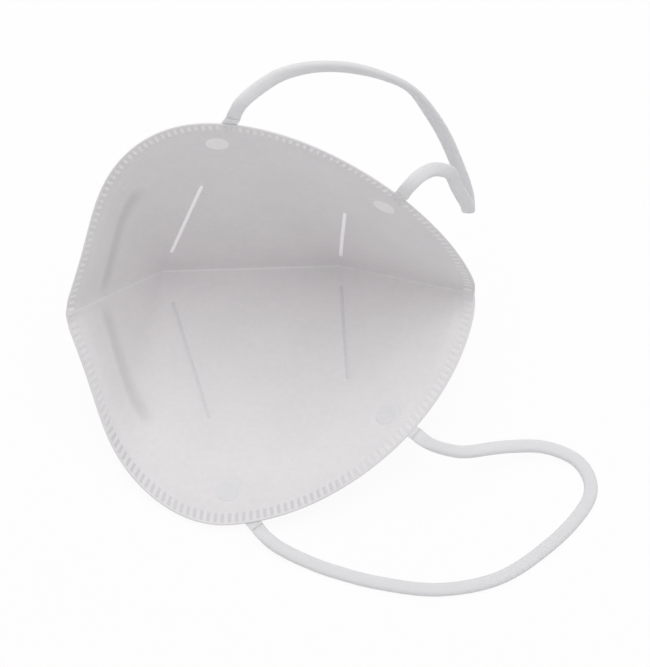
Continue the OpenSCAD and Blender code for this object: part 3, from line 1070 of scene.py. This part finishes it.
def bar(name: str, size: Triple, segments: int, inset: float, rise: float, cell: float) -> Piece:
    """A flat bar with round ends and raised faces, cut along its length so that it can bend.

    Args:
        name: Name of the piece.
        size: Its length, width and thickness.
        segments: Steps of each round corner.
        inset: Width of the slope round its faces.
        rise: Height of that slope.
        cell: Distance of the cuts.

    Returns:
        The new object, left in edit mode.
    """
    piece = block(name, size)
    pick(piece, "EDGE")
    bpy.ops.mesh.bevel(offset=ROUND_END * size[1], segments=segments, affect="EDGES")
    pick(piece, "FACE")
    bpy.ops.mesh.inset(thickness=inset, depth=rise)
    cut_even(size[0], cell)
    return piece


def done(piece: Piece, angle: float = SOFT_ANGLE) -> None:
    """Leaves edit mode and shades a piece smooth.

    Args:
        piece: The piece.
        angle: Least angle of an edge that stays sharp.
    """
    clear()
    piece.select_set(True)
    bpy.context.view_layer.objects.active = piece
    bpy.ops.object.shade_smooth_by_angle(angle=math.radians(angle))
    clear()


def outward(piece: Piece) -> None:
    """Turns the faces of a closed piece outwards.

    Args:
        piece: The piece, out of edit mode.
    """
    shape = bmesh.new()
    shape.from_mesh(piece.data)
    bmesh.ops.recalc_face_normals(shape, faces=shape.faces)
    shape.to_mesh(piece.data)
    shape.free()


def chart(mesh: bpy.types.Mesh, flat: Array) -> None:
    """Gives a mesh its UV map.

    Args:
        mesh: The mesh.
        flat: Flat coordinates of its points.
    """
    layer = mesh.uv_layers.get(FLAT_UV) or mesh.uv_layers.new(name=FLAT_UV)
    corner = np.zeros(len(mesh.loops), dtype=np.int32)
    mesh.loops.foreach_get("vertex_index", corner)
    layer.data.foreach_set("uv", flat[corner].astype(np.float32).ravel())


def placed(name: str, data: bpy.types.ID) -> Piece:
    """Adds an object to the scene.

    Args:
        name: Name of the object.
        data: Its mesh, camera or light.

    Returns:
        The new object.
    """
    piece = bpy.data.objects.new(name, data)
    bpy.context.scene.collection.objects.link(piece)
    return piece


def woven(
    name: str, points: Array, faces: list[Face], flat: Array, angle: float = SOFT_ANGLE
) -> Piece:
    """A closed mesh object with flat coordinates as its UV map.

    Args:
        name: Name of the piece.
        points: Places in the frame, one row each.
        faces: Corner numbers of each face.
        flat: Flat coordinates of each point.
        angle: Least angle of an edge that stays sharp.

    Returns:
        The new object.
    """
    mesh = bpy.data.meshes.new(name)
    mesh.from_pydata(points.tolist(), [], faces)
    chart(mesh, flat)
    piece = placed(name, mesh)
    outward(piece)
    done(piece, angle)
    return piece


def shell(
    name: str, skins: tuple[Array, Array], faces: list[Face], border: list[int], flat: Array,
    angle: float = SOFT_ANGLE,
) -> Piece:
    """A thin closed shell: its upper faces, then its lower faces, then its walls.

    Args:
        name: Name of the piece.
        skins: Points of the upper and of the lower face.
        faces: Corner numbers of the upper faces.
        border: Numbers of the upper points round its border.
        flat: Flat coordinates of the upper points.
        angle: Least angle of an edge that stays sharp.

    Returns:
        The new object.
    """
    count = len(flat)
    under = [tuple(count + k for k in reversed(face)) for face in faces]
    walls = [(b, a, a + count, b + count) for a, b in zip(border, border[1:] + border[:1])]
    both = np.concatenate([flat, flat])
    return woven(name, np.concatenate(skins), faces + under + walls, both, angle)


def grid_faces(long: int, wide: int, first: int = 0) -> tuple[list[Face], list[int]]:
    """Faces and border of a grid of points.

    Args:
        long: Number of rows.
        wide: Number of points in a row.
        first: Number of the first point.

    Returns:
        Corner numbers of the faces, and point numbers round the border from the first row on.
    """
    starts = [first + i * wide + j for i in range(long - 1) for j in range(wide - 1)]
    faces = [(a, a + 1, a + wide + 1, a + wide) for a in starts]
    last = first + (long - 1) * wide
    border = [*range(first, first + wide), *range(first + 2 * wide - 1, last + wide, wide),
              *range(last + wide - 2, last - 1, -1), *range(last - wide, first, -wide)]
    return faces, border


def tube_faces(rings: int, sides: int) -> list[Face]:
    """Faces of a closed tube.

    Args:
        rings: Number of rings of points.
        sides: Number of points in a ring.

    Returns:
        Corner numbers of the faces.
    """
    last = (rings - 1) * sides
    faces = [(k + j, k + (j + 1) % sides, k + sides + (j + 1) % sides, k + sides + j)
             for k in range(0, last, sides) for j in range(sides)]
    return faces + [tuple(range(sides)), tuple(last + j for j in reversed(range(sides)))]


def lay_on(piece: Piece, half: Half, mark: Mark, level: Callable[[Array], Array]) -> None:
    """Lays a flat-made piece on a half.

    Args:
        piece: A finished object whose X axis runs along the mark.
        half: The half that it lies on.
        mark: The mark on the flat pattern.
        level: Height of the piece's zero level at flat points.
    """
    co = np.zeros(len(piece.data.vertices) * 3, dtype=np.float32)
    piece.data.vertices.foreach_get("co", co)
    co = co.reshape(-1, 3).astype(float)
    flat = mark.start + co[:, :1] * heading(mark.angle) + co[:, 1:2] * heading(mark.angle + 90.0)
    chart(piece.data, flat)
    place = half.lay(flat, level(flat) + co[:, 2])
    piece.data.vertices.foreach_set("co", place.astype(np.float32).ravel())
    outward(piece)
    piece.data.update()


@dataclass
class OnHalf:
    """What belongs to one half and bends with it."""

    half: Half
    finishes: Materials

    def dress(
        self, piece: Piece, end: End, slot: str, nodes: list[str], finishes: list[str]
    ) -> None:
        """Gives a piece its finishes, bakes its transform and hides the solids that it stands for.

        Args:
            piece: The finished piece.
            end: The end of the fold whose crease it lies by.
            slot: Material slot of the frame; not used.
            nodes: The solids that it stands for.
            finishes: Names of its finishes in the order of their slots.
        """
        for name in finishes:
            piece.data.materials.append(self.finishes[name])
        self.half.carry(piece, end)
        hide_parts(*nodes)
        LOG.info("%s: %d faces", piece.name, len(piece.data.polygons))


@dataclass(frozen=True)
class Layer:
    """One ply: its share of the wall and how fine its mesh is."""

    name: str
    top: float
    bottom: float
    across: float
    rings: int


LAYERS = [
    Layer("lining", 0.0, 0.2, 1.0 * MM, 84),
    Layer("filter", 0.22, 0.43, 3.0 * MM, 30),
    Layer("cotton", 0.46, 0.77, 3.0 * MM, 30),
    Layer("cover", 0.8, 1.0, 1.0 * MM, 84),
]


@dataclass
class PlySheets(OnHalf):
    """The four plies of one half, each in a nose piece and a chin piece that meet on the cheek."""

    def outline(self, end: End, spacing: float) -> Array:
        """Outer boundary of one piece: up the split, then along the edge to the seam.

        Args:
            end: Nose or chin piece.
            spacing: Distance of the boundary's points.

        Returns:
            Boundary points.
        """
        edge = PATTERN.run(end, SKIN.weld_width)
        parts = []
        for path in (np.array([[PATTERN.split, 0.0], edge[0]]), edge):
            count = max(2, round(path_length(path) / spacing))
            parts.append(resample(path, np.linspace(0.0, 1.0, count + 1)))
        return np.concatenate([parts[0], parts[1][1:]])

    def build(self, end: End, layer: Layer) -> tuple[Piece, Array]:
        """Makes one ply of one end as a thin closed shell.

        Args:
            end: Nose or chin piece.
            layer: The ply.

        Returns:
            The new piece, and the corners of its flat cut.
        """
        apex = from_end(np.zeros(2), end)
        rim = self.outline(end, layer.across)
        shares = np.arange(1, layer.rings + 1) / layer.rings
        spread = apex + shares[None, :, None] * (rim - apex)[:, None, :]
        flat = np.concatenate([[apex], spread.reshape(-1, 2)])
        inner, outer = self.half.heights(flat)
        wall = outer - inner
        top, low = (self.half.lay(flat, inner + part * wall) for part in (layer.top, layer.bottom))
        faces, border = grid_faces(len(rim), layer.rings, 1)
        firsts = range(1, (len(rim) - 1) * layer.rings, layer.rings)
        faces += [(0, a, a + layer.rings) for a in firsts]
        border = [0, *border[:len(rim) + 2 * layer.rings - 2]]
        name = f"{layer.name}_{end.value}_{self.half.side.value}"
        piece = shell(name, (top, low), faces, border, flat)
        return piece, np.concatenate([[apex], rim])

    def make(self) -> None:
        """Builds and dresses all pieces of this half."""
        side = self.half.side.value
        for layer in LAYERS:
            for end in End:
                piece, cut_out = self.build(end, layer)
                nodes = [f"{end.value}_{layer.name}_{side}", f"cheek_{layer.name}_{side}"]
                self.dress(piece, end, layer.name, nodes, [layer.name])
                box = tuple(float(x) for x in cut_out.max(axis=0) - cut_out.min(axis=0))


@dataclass
class FusedEdge(OnHalf):
    """The fused edge of one half with its row of short weld bars square to the edge."""

    pitch: float = 2.5 * MM
    bar_share: float = 0.46
    bar_bevel: float = 0.07
    bar_from: float = 0.65 * MM
    bar_to: float = 4.5 * MM
    bar_slope: float = 0.2 * MM
    bar_depth: float = 0.14 * MM
    lip: float = 0.25 * MM
    pinch: float = 0.3
    sharp_angle: float = 30.0

    def columns(self, length: float) -> tuple[Array, Array]:
        """Shares of the edge's length at the sides of each bar.

        Args:
            length: Length of the stretch.

        Returns:
            The shares, and which of them lie on a bar's floor.
        """
        count = round(length / self.pitch)
        near, far = 0.5 - self.bar_share / 2.0, 0.5 + self.bar_share / 2.0
        cell = [0.0, near - self.bar_bevel, near, far, far + self.bar_bevel]
        shares = [(k + c) / count for k in range(count) for c in cell] + [1.0]
        return np.array(shares), np.array([False, False, True, True, False] * count + [False])

    def rows(self) -> tuple[Array, Array]:
        """Distances from the edge at the ends of the bars.

        Returns:
            The distances, and which of them lie on a bar's floor.
        """
        near, far = self.bar_from + self.bar_slope, self.bar_to - self.bar_slope
        middle = (self.bar_from + self.bar_to) / 2.0
        rows = [0.0, self.lip, self.bar_from, near, middle, far, self.bar_to, SKIN.weld_width]
        return np.array(rows), np.array([False, False, False, True, True, True, False, False])

    def build(self, end: End) -> Piece:
        """Makes one end's stretch of the fused edge as a thin closed shell.

        Args:
            end: Nose or chin stretch.

        Returns:
            The new piece, with the web inside, the bars and the web outside as its three finishes.
        """
        shares, on_bar = self.columns(path_length(PATTERN.run(end, 0.0)))
        rows, in_bar = self.rows()
        lines = [resample(PATTERN.run(end, d), shares) for d in rows]
        flat = np.stack(lines, axis=1).reshape(-1, 2)
        inner, outer = self.half.heights(flat)
        floor = (on_bar[:, None] & in_bar[None, :]).ravel()
        drawn = np.where(np.tile(rows == 0.0, len(shares)), self.pinch, 0.0) * (inner - outer)
        drawn += self.bar_depth * floor
        skins = (self.half.lay(flat, inner - drawn), self.half.lay(flat, outer + drawn))
        faces, border = grid_faces(len(shares), len(rows))
        name = f"edge_{end.value}_{self.half.side.value}"
        piece = shell(name, skins, faces, border, flat, self.sharp_angle)
        bars = [all(floor[k] for k in face) for face in faces]
        kinds = [1 if on else 0 for on in bars] + [1 if on else 2 for on in bars]
        piece.data.polygons.foreach_set("material_index", kinds + [0] * len(border))
        return piece

    def make(self) -> None:
        """Builds and dresses both stretches of this half."""
        side = self.half.side.value
        for end in End:
            piece = self.build(end)
            nodes = [f"{end.value}_rim_{side}", f"cheek_rim_{side}"]
            # the left half takes the darker bars with painted shade, the right half the lighter
            # bars that light comes through
            self.dress(piece, end, "fused", nodes, ["lining", f"bars_{side}", "cover"])
            length = path_length(PATTERN.run(end, SKIN.weld_width / 2.0))


@dataclass
class Welds(OnHalf):
    """Weld ribs and weld spots of one half, modelled flat and then laid on the fabric."""

    rib_width: float = 1.2 * MM
    rib_proud: float = 0.08 * MM
    rib_slope: float = 0.12
    rib_segments: int = 4
    cell: float = 2.0 * MM
    spot_proud: float = 0.12 * MM
    spot_rise: float = 0.03 * MM
    spot_dish: float = 0.02 * MM
    spot_rings: int = 6
    spot_flat: float = 1.5
    spot_sides: int = 64
    spot_angle: float = 60.0

    def middle(self, flat: Array) -> Array:
        """Height of the middle of the fabric at flat points."""
        inner, outer = self.half.heights(flat)
        return (inner + outer) / 2.0

    def inside(self, flat: Array) -> Array:
        """Height of the inner face at flat points."""
        return self.half.heights(flat)[0]

    def rib(self, end: End) -> Piece:
        """Makes a weld rib: a thin bar with round ends through the fabric, its outer faces apart.

        Args:
            end: Nose or chin end of the fold that it is near.

        Returns:
            The new piece.
        """
        mark = RIBS[end]
        inner, outer = self.half.heights(mark.path.mean(axis=0)[None, :])
        size = (mark.length, self.rib_width, float(inner[0] - outer[0]) + 2.0 * self.rib_proud)
        piece = bar(f"rib_{end.value}_{self.half.side.value}", size, self.rib_segments,
                    self.rib_slope * self.rib_width, self.rib_proud / 2.0, self.cell)
        done(piece)
        for face in piece.data.polygons:
            face.material_index = int(face.center.z < 0.0)
        lay_on(piece, self.half, mark, self.middle)
        return piece

    def spot(self, end: End) -> Piece:
        """Makes a round weld spot with a soft rim and a dished middle.

        Args:
            end: Nose or chin side of the split.

        Returns:
            The new piece.
        """
        clear()
        radius = SKIN.spot_radius
        bpy.ops.mesh.primitive_circle_add(vertices=self.spot_sides, radius=radius, fill_type="NGON")
        piece = edit(f"spot_{end.value}_{self.half.side.value}")
        rise = {"value": (0.0, 0.0, self.spot_proud)}
        bpy.ops.mesh.extrude_region_move(TRANSFORM_OT_translate=rise)
        for k in range(self.spot_rings):
            step = radius / (self.spot_rings + self.spot_flat)
            bpy.ops.mesh.inset(thickness=step, depth=-self.spot_dish if k else self.spot_rise)
        done(piece, self.spot_angle)
        lay_on(piece, self.half, Mark(SPOTS[end], 0.0, radius), self.inside)
        return piece

    def make(self) -> None:
        """Builds and dresses the ribs and spots of this half."""
        side = self.half.side.value
        for end in End:
            ribs, spots = [f"{end.panel}_rib_{side}"], [f"{end.panel}_spot_{side}"]
            # the left half takes the darker rib and spot, painted shade; the right half the lighter
            # ones with painted light as a glow
            self.dress(self.rib(end), end, "fused", ribs, [f"rib_{side}", "fin"])
            self.dress(self.spot(end), end, "fused", spots, [f"spot_{side}"])


@dataclass
class NoseStrip(OnHalf):
    """One arm of the aluminium nose strip on the outside of the nose panel."""

    width: float = 5.0 * MM
    thick: float = 0.9 * MM
    edge: float = 0.25 * MM
    segments: int = 8
    cell: float = 1.0 * MM
    gap: float = 0.2 * MM
    across: tuple[float, ...] = (-0.25, 0.0, 0.25)

    def level(self, flat: Array) -> Array:
        """Height of the strip's middle at flat points: just outside the cover."""
        return self.half.heights(flat)[1] - 0.5 * self.thick - self.gap

    def make(self) -> None:
        """Makes the arm flat with round ends, lays it on the cover and dresses it."""
        side = self.half.side.value
        size = (STRIP.length, self.width, self.thick)
        rise = 0.5 * self.edge
        piece = bar(f"nose_strip_{side}", size, self.segments, self.edge, rise, self.cell)
        cut(ACROSS, [self.width * share for share in self.across])
        done(piece)
        lay_on(piece, self.half, STRIP, self.level)
        self.dress(piece, End.NOSE, "nose_clip", [f"nose_clip_{side}"], ["strip"])


@dataclass
class SeamFin:
    """Fused fin outside the nose or chin seam, with pressed weld marks on both faces."""

    half: Half
    finishes: Materials
    end: End
    width: float = 3.5 * MM
    thick: float = 0.7 * MM
    pitch: float = 2.5 * MM
    mark_inset: float = 0.45 * MM
    mark_slope: float = 0.1 * MM
    mark_depth: float = 0.14 * MM
    taper: float = 7.0 * MM
    least: float = 0.12

    def build(self) -> Piece:
        """Makes the fin flat and turns it into the plane between the halves.

        Returns:
            The new piece.
        """
        length = PATTERN.seam(self.end)[0]
        piece = block(f"fin_{self.end.value}", (length, self.width, self.thick))
        bpy.ops.transform.translate(value=(0.0, self.width / 2.0, 0.0))
        cut_even(length, self.pitch)
        pick(piece, "FACE")
        bpy.ops.mesh.inset(thickness=self.mark_inset, depth=0.0, use_individual=True)
        bpy.ops.mesh.inset(thickness=self.mark_slope, depth=-self.mark_depth, use_individual=True)
        bpy.ops.object.mode_set(mode="OBJECT")
        foot, way = (NOSE_END, 1.0) if self.end is End.NOSE else (CHIN_END, -1.0)
        along = self.half.seam_heading(self.end)
        out = np.cross(along, MID_NORMAL) * way
        for vertex in piece.data.vertices:
            x, y, z = vertex.co
            y *= min(1.0, max(self.least, min(x, length - x) / self.taper))
            vertex.co = Vector(foot + x * along + y * out + z * MID_NORMAL)
        outward(piece)
        done(piece)
        return piece

    def make(self) -> None:
        """Builds and dresses the fin."""
        piece = self.build()
        piece.data.materials.append(self.finishes["fin"])
        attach(piece, f"{self.end.value}_fin")
        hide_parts(f"{self.end.value}_seam")
        LOG.info("%s: %d faces", piece.name, len(piece.data.polygons))


@dataclass
class FoldRound:
    """Rounded outside of the front fold, where the cover goes over from one half to the other."""

    finishes: Materials
    radius: float = SKIN.seam_wall
    thick: float = 0.2 * MM
    steps: int = 10
    cells: int = 48

    def make(self) -> None:
        """Builds and dresses the fold as a curved strip between the halves."""
        turns = np.linspace(-math.pi / 2.0, math.pi / 2.0 - OPEN_ANGLE, self.steps + 1)
        arc = np.stack([np.zeros_like(turns), np.cos(turns), np.sin(turns)], axis=1)
        profile = np.concatenate([arc * self.radius, arc[::-1] * (self.radius - self.thick)])
        along = np.linspace(0.0, FOLD_LEN, self.cells + 1)
        points = profile[None, :, :] + along[:, None, None] * np.array(ALONG)
        points = points.reshape(-1, 3) + NOSE_END
        piece = woven("fold_round", points, tube_faces(len(along), len(profile)), points[:, [0, 2]])
        piece.data.materials.append(self.finishes["cover"])
        middle = NOSE_END + [FOLD_LEN / 2.0, 0.0, 0.0]
        tuple(middle + [0.0, 0.0, -self.radius])
        tuple(middle + [0.0, self.radius, 0.0])
        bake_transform(piece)
        LOG.info("%s: %d faces", piece.name, len(piece.data.polygons))


@dataclass
class BandEnd(OnHalf):
    """Flat band end from its weld spot outside a half to the edge, where it meets its loop."""

    end: End
    meet: Array
    width: float = 4.8 * MM
    thick: float = 0.6 * MM
    crown: float = 0.1 * MM
    top: float = 1.7 * MM
    ease: float = 8.0 * MM
    cell: float = 0.8 * MM
    wide: int = 9
    blunt: float = 0.15

    def make(self) -> None:
        """Builds and dresses the band end as a thin closed sheet."""
        side, mark = self.half.side.value, TABS[self.half.side, self.end]
        length, radius = mark.length, self.width / 2.0
        x = np.linspace(-radius, length, round((length + radius) / self.cell) + 1)
        y = np.linspace(-1.0, 1.0, self.wide)
        rounded = np.sqrt(np.maximum(radius**2 - x**2, (self.blunt * radius) ** 2))
        reach = np.where(x < 0.0, rounded, radius)
        spread = (reach[:, None] * y)[:, :, None] * heading(mark.angle + 90.0)
        flat = (mark.start + x[:, None, None] * heading(mark.angle) + spread).reshape(-1, 2)
        level = SKIN.ripples(flat) - self.top
        crown = self.crown * np.tile(1.0 - y**2, len(x))
        top = self.half.lay(flat, level)
        low = self.half.lay(flat, level - self.thick + self.crown - crown)
        middle = len(flat) - self.wide // 2 - 1
        share = np.repeat(smooth((x - length + self.ease) / self.ease), self.wide)[:, None]
        shift = share * (self.meet - (top[middle] + low[middle]) / 2.0)
        girth = np.stack([np.repeat(x, self.wide), np.tile((y + 1.0) / 4.0, len(x))], axis=1)
        name = f"band_end_{self.end.panel}_{side}"
        piece = shell(name, (top + shift, low + shift), *grid_faces(len(x), self.wide), girth)
        self.dress(piece, self.end, "loop", [f"{self.end.panel}_tab_{side}"], ["band"])
        area = self.width * (length + radius * math.pi / 4.0)
        length + radius


# Stations of the loops: a place in millimetres from the fold's nose end, and the way that the
# band's flat side faces there.
LEFT_ROUTE = [
    (30.9, -104.6, 1.8, -0.14, 0.08, 0.98), (32.6, -107.1, 1.5, -0.1, 0.05, 1),
    (36.6, -110.8, 0.5, 0, 0, 1), (41.5, -113.8, -0.4, 0, 0, 1), (47.5, -116.9, -0.9, 0, 0, 1),
    (56, -120.8, -0.9, 0, 0, 1), (72, -126, -0.9, 0, 0, 1), (92.5, -129.2, -0.9, 0, 0, 1),
    (113.5, -125.5, -0.9, 0, 0, 1), (131.5, -113.8, -0.9, 0, 0, 1), (144, -101, -0.9, 0, 0, 1),
    (147.8, -91.5, -0.9, 0, 0, 1), (144, -82, -0.6, 0, 0, 1), (132.8, -76.8, 0.8, 0, 0, 1),
    (118.5, -78, 4.5, 0, 0, 1), (104.5, -82, 9.5, -0.15, 0, 1),
    (97.6, -83.1, 13.7, -0.25, 0, 0.97), (92.1, -83.3, 18, -0.35, 0.05, 0.93),
    (88.6, -82.3, 20.6, -0.45, 0.1, 0.9), (86.4, -80.2, 20.8, -0.49, 0.11, 0.87),
]
RIGHT_ROUTE = [
    (26.5, -5, 106.6, 0.14, 0.98, 0.12), (27.2, -4.6, 109.2, 0.12, 0.98, 0.05),
    (29.5, -2.8, 112.6, 0.05, 0.93, -0.3), (34.8, 0.8, 115, 0, 0.85, -0.5),
    (43, 5, 117, -0.05, 0.9, -0.4), (53.9, 8.5, 115.6, -0.15, 0.97, -0.1),
    (66, 10.5, 111.5, -0.1, 0.98, 0.1), (78.6, 12, 103.1, 0.2, 0.9, 0.35),
    (87.5, 12.8, 93.5, 0.5, 0.8, 0.3), (94.8, 13, 77.9, 0.2, 0.97, 0.05),
    (100.6, 12.4, 62.8, 0.1, 1, 0), (106.2, 10.9, 44.3, 0.05, 1, 0),
    (108.9, 9.6, 34, 0, 0.98, -0.15), (109.7, 8.7, 29.3, 0, 0.75, -0.65),
    (109.9, 6.5, 27.2, 0, 0, -1), (109.5, 4.3, 29.3, 0, -0.75, -0.65),
    (108.6, 3.5, 34.6, 0.1, -0.98, -0.1), (104.6, 1.3, 48.4, 0.2, -0.95, 0.1),
    (101.1, -3.4, 65.4, 0.3, -0.8, 0.5), (97.8, -7.8, 75.2, 0.35, -0.5, 0.8),
    (93.1, -13.2, 84.4, 0.3, -0.35, 0.9), (88.4, -17.8, 88, 0.2, -0.55, 0.8),
    (84.4, -21.2, 86.7, -0.3, -0.9, 0.3), (82.4, -21.9, 82.7, -0.49, -0.86, -0.14),
]


@dataclass
class EarLoop:
    """Elastic band from the cheek's edge round to the chin panel's edge."""

    side: Side
    finishes: Materials
    route: list[tuple[float, ...]]
    release: Triple
    width: float = 4.8 * MM
    thick: float = 2.6 * MM
    end_thick: float = 0.6 * MM
    taper: float = 8.0 * MM
    squareness: float = 2.6
    span_steps: int = 10
    sides: int = 24
    sharp_angle: float = 60.0

    def curve(self) -> tuple[Array, Array]:
        """Dense points of the route with their facings.

        Returns:
            Places in the frame and unit facings.
        """
        stations = np.array(self.route, dtype=float)
        stations[:, :3] = stations[:, :3] * MM + NOSE_END
        padded = np.concatenate([stations[:1], stations, stations[-1:]])
        points = []
        for a, b, c, d in zip(padded[:-3], padded[1:-2], padded[2:-1], padded[3:]):
            for s in np.arange(self.span_steps) / self.span_steps:
                points.append(0.5 * (2 * b + (c - a) * s + (2 * a - 5 * b + 4 * c - d) * s**2
                                     + (3 * b - a - 3 * c + d) * s**3))
        points = np.array([*points, stations[-1]])
        return points[:, :3], unit(points[:, 3:])

    def build(self, centre: Array, facing: Array) -> Piece:
        """Makes the loop as one closed tube.

        Args:
            centre: Points of its middle line.
            facing: Direction of its flat side at each.

        Returns:
            The new piece.
        """
        tangent = unit(np.gradient(centre, axis=0))
        across = unit(np.cross(tangent, facing))
        up = np.cross(across, tangent)
        length = mileage(centre)
        away = np.minimum(length, length[-1] - length)
        thick = self.end_thick + (self.thick - self.end_thick) * smooth(away / self.taper)
        turn = 2.0 * math.pi * np.arange(self.sides) / self.sides
        power, circle = 2.0 / self.squareness, (np.cos(turn), np.sin(turn))
        wide, tall = (np.sign(x) * np.abs(x) ** power for x in circle)
        points = (centre[:, None, :] + self.width / 2.0 * wide[None, :, None] * across[:, None, :]
                  + 0.5 * thick[:, None, None] * tall[None, :, None] * up[:, None, :])
        girth = np.tile(np.abs(1.0 - turn / math.pi), len(centre))
        flat = np.stack([np.repeat(length, self.sides), girth], axis=1)
        faces = tube_faces(len(centre), self.sides)
        name = f"ear_loop_{self.side.value}"
        return woven(name, points.reshape(-1, 3), faces, flat, self.sharp_angle)

    def make(self) -> None:
        """Builds and dresses the loop."""
        centre, facing = self.curve()
        piece = self.build(centre, facing)
        piece.data.materials.append(self.finishes["band"])
        tuple(centre[-1] + self.release)
        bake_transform(piece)
        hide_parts(f"loop_{self.side.value}")


@dataclass
class Studio:
    """Plain white studio: floor, dome of light, lamp and the camera of the picture."""

    target: Triple = (56.64 * MM, -41.69 * MM, 24.60 * MM)
    azimuth: float = -4.267
    elevation: float = 60.806
    roll: float = 2.007
    distance: float = 1046.3 * MM
    lens: float = 161.92
    sensor: float = 36.0
    clip: Pair = (0.05, 20.0)
    dome: float = 0.50
    lamp_power: float = 12.0
    lamp_place: Triple = (0.05, 0.35, 1.6)
    lamp_aim: Triple = (0.0, 0.0, 0.03)
    lamp_size: float = 1.4
    floor_size: float = 6.0
    floor_grey: float = 0.97
    floor_glow: float = 0.93

    def camera(self) -> None:
        """Adds the camera at the photograph's viewing angle."""
        data = bpy.data.cameras.new("picture_camera")
        data.lens = self.lens
        data.sensor_width = self.sensor
        data.clip_start, data.clip_end = self.clip
        camera = placed("picture_camera", data)
        a, e = math.radians(self.azimuth), math.radians(self.elevation)
        back = Vector((math.sin(a) * math.cos(e), -math.cos(a) * math.cos(e), math.sin(e)))
        camera.location = Vector(NOSE_END) + Vector(self.target) + back * self.distance
        look = (-back).to_track_quat("-Z", "Y").to_matrix()
        camera.rotation_euler = (look @ Matrix.Rotation(math.radians(self.roll), 3, "Z")).to_euler()
        bpy.context.scene.camera = camera

    def world(self) -> None:
        """Adds an even dome of light that the camera sees as white."""
        world = bpy.data.worlds.new("white_dome")
        bpy.context.scene.world = world
        world.use_nodes = True
        g = Nodes(world.node_tree)
        white = (1.0, 1.0, 1.0, 1.0)
        light, seen = (
            g.add("ShaderNodeBackground", None, {"Color": white, "Strength": strength}).outputs[0]
            for strength in (self.dome, 1.0)
        )
        mix = g.add("ShaderNodeMixShader", None, {0: g.backdrop_rays(), 1: light, 2: seen})
        g.add("ShaderNodeOutputWorld", None, {"Surface": mix.outputs[0]})

    def floor(self) -> None:
        """Adds the pale floor, which keeps the mask's shadow."""
        clear()
        bpy.ops.mesh.primitive_plane_add(size=self.floor_size, location=(0.0, 0.0, 0.0))
        floor = bpy.context.object
        floor.name = "studio_floor"
        g = Graph("studio_floor")
        grey = (self.floor_grey, self.floor_grey, self.floor_grey, 1.0)
        g.finish(Base_Color=grey, Roughness=0.9, Specular_IOR_Level=0.0)
        glow = g.add("ShaderNodeEmission", None, {"Color": (1.0, 1.0, 1.0, 1.0), "Strength": 1.0})
        share = g.backdrop_rays() * self.floor_glow
        ends = {0: share, 1: g.shader.outputs[0], 2: glow.outputs[0]}
        mix = g.add("ShaderNodeMixShader", None, ends)
        g.feed(g.output.inputs["Surface"], mix.outputs[0])
        floor.data.materials.append(g.material)

    def lamp(self) -> None:
        """Adds the soft square lamp over the mask."""
        data = bpy.data.lights.new("key_lamp", "AREA")
        data.size = self.lamp_size
        data.energy = self.lamp_power
        lamp = placed("key_lamp", data)
        lamp.location = self.lamp_place
        way = Vector(self.lamp_aim) - Vector(self.lamp_place)
        lamp.rotation_euler = way.to_track_quat("-Z", "Y").to_euler()

    def make(self) -> None:
        """Builds the studio."""
        bpy.context.scene.view_settings.view_transform = "Standard"
        for build in (self.camera, self.world, self.floor, self.lamp):
            build()


def main() -> None:
    """Builds the studio and every piece of the mask in order."""
    logging.basicConfig(level=logging.INFO, format="%(name)s: %(message)s")
    Studio().make()
    finishes = {name: finish.material() for name, finish in FINISHES.items()}
    fans = {
        End.NOSE: Fan(PATTERN.nose_turn, bend_centre=98.0, bend_half=20.0),
        End.CHIN: Fan(PATTERN.chin_turn, bend_centre=77.0, bend_half=38.0),
    }
    loops = [
        EarLoop(Side.LEFT, finishes, LEFT_ROUTE, release=(0.0, -6.0 * MM, -16.0 * MM)),
        EarLoop(Side.RIGHT, finishes, RIGHT_ROUTE, release=(0.0, 16.5 * MM, 0.0)),
    ]
    for loop in loops:
        loop.make()
        exits = loop.curve()[0]
        half = Half(loop.side, fans)
        for kind in (PlySheets, FusedEdge, Welds, NoseStrip):
            kind(half, finishes).make()
        BandEnd(half, finishes, End.NOSE, exits[0]).make()
        BandEnd(half, finishes, End.CHIN, exits[-1]).make()
    for end in End:
        SeamFin(Half(Side.LEFT, fans), finishes, end).make()
    FoldRound(finishes).make()


if __name__ == "__main__":
    main()
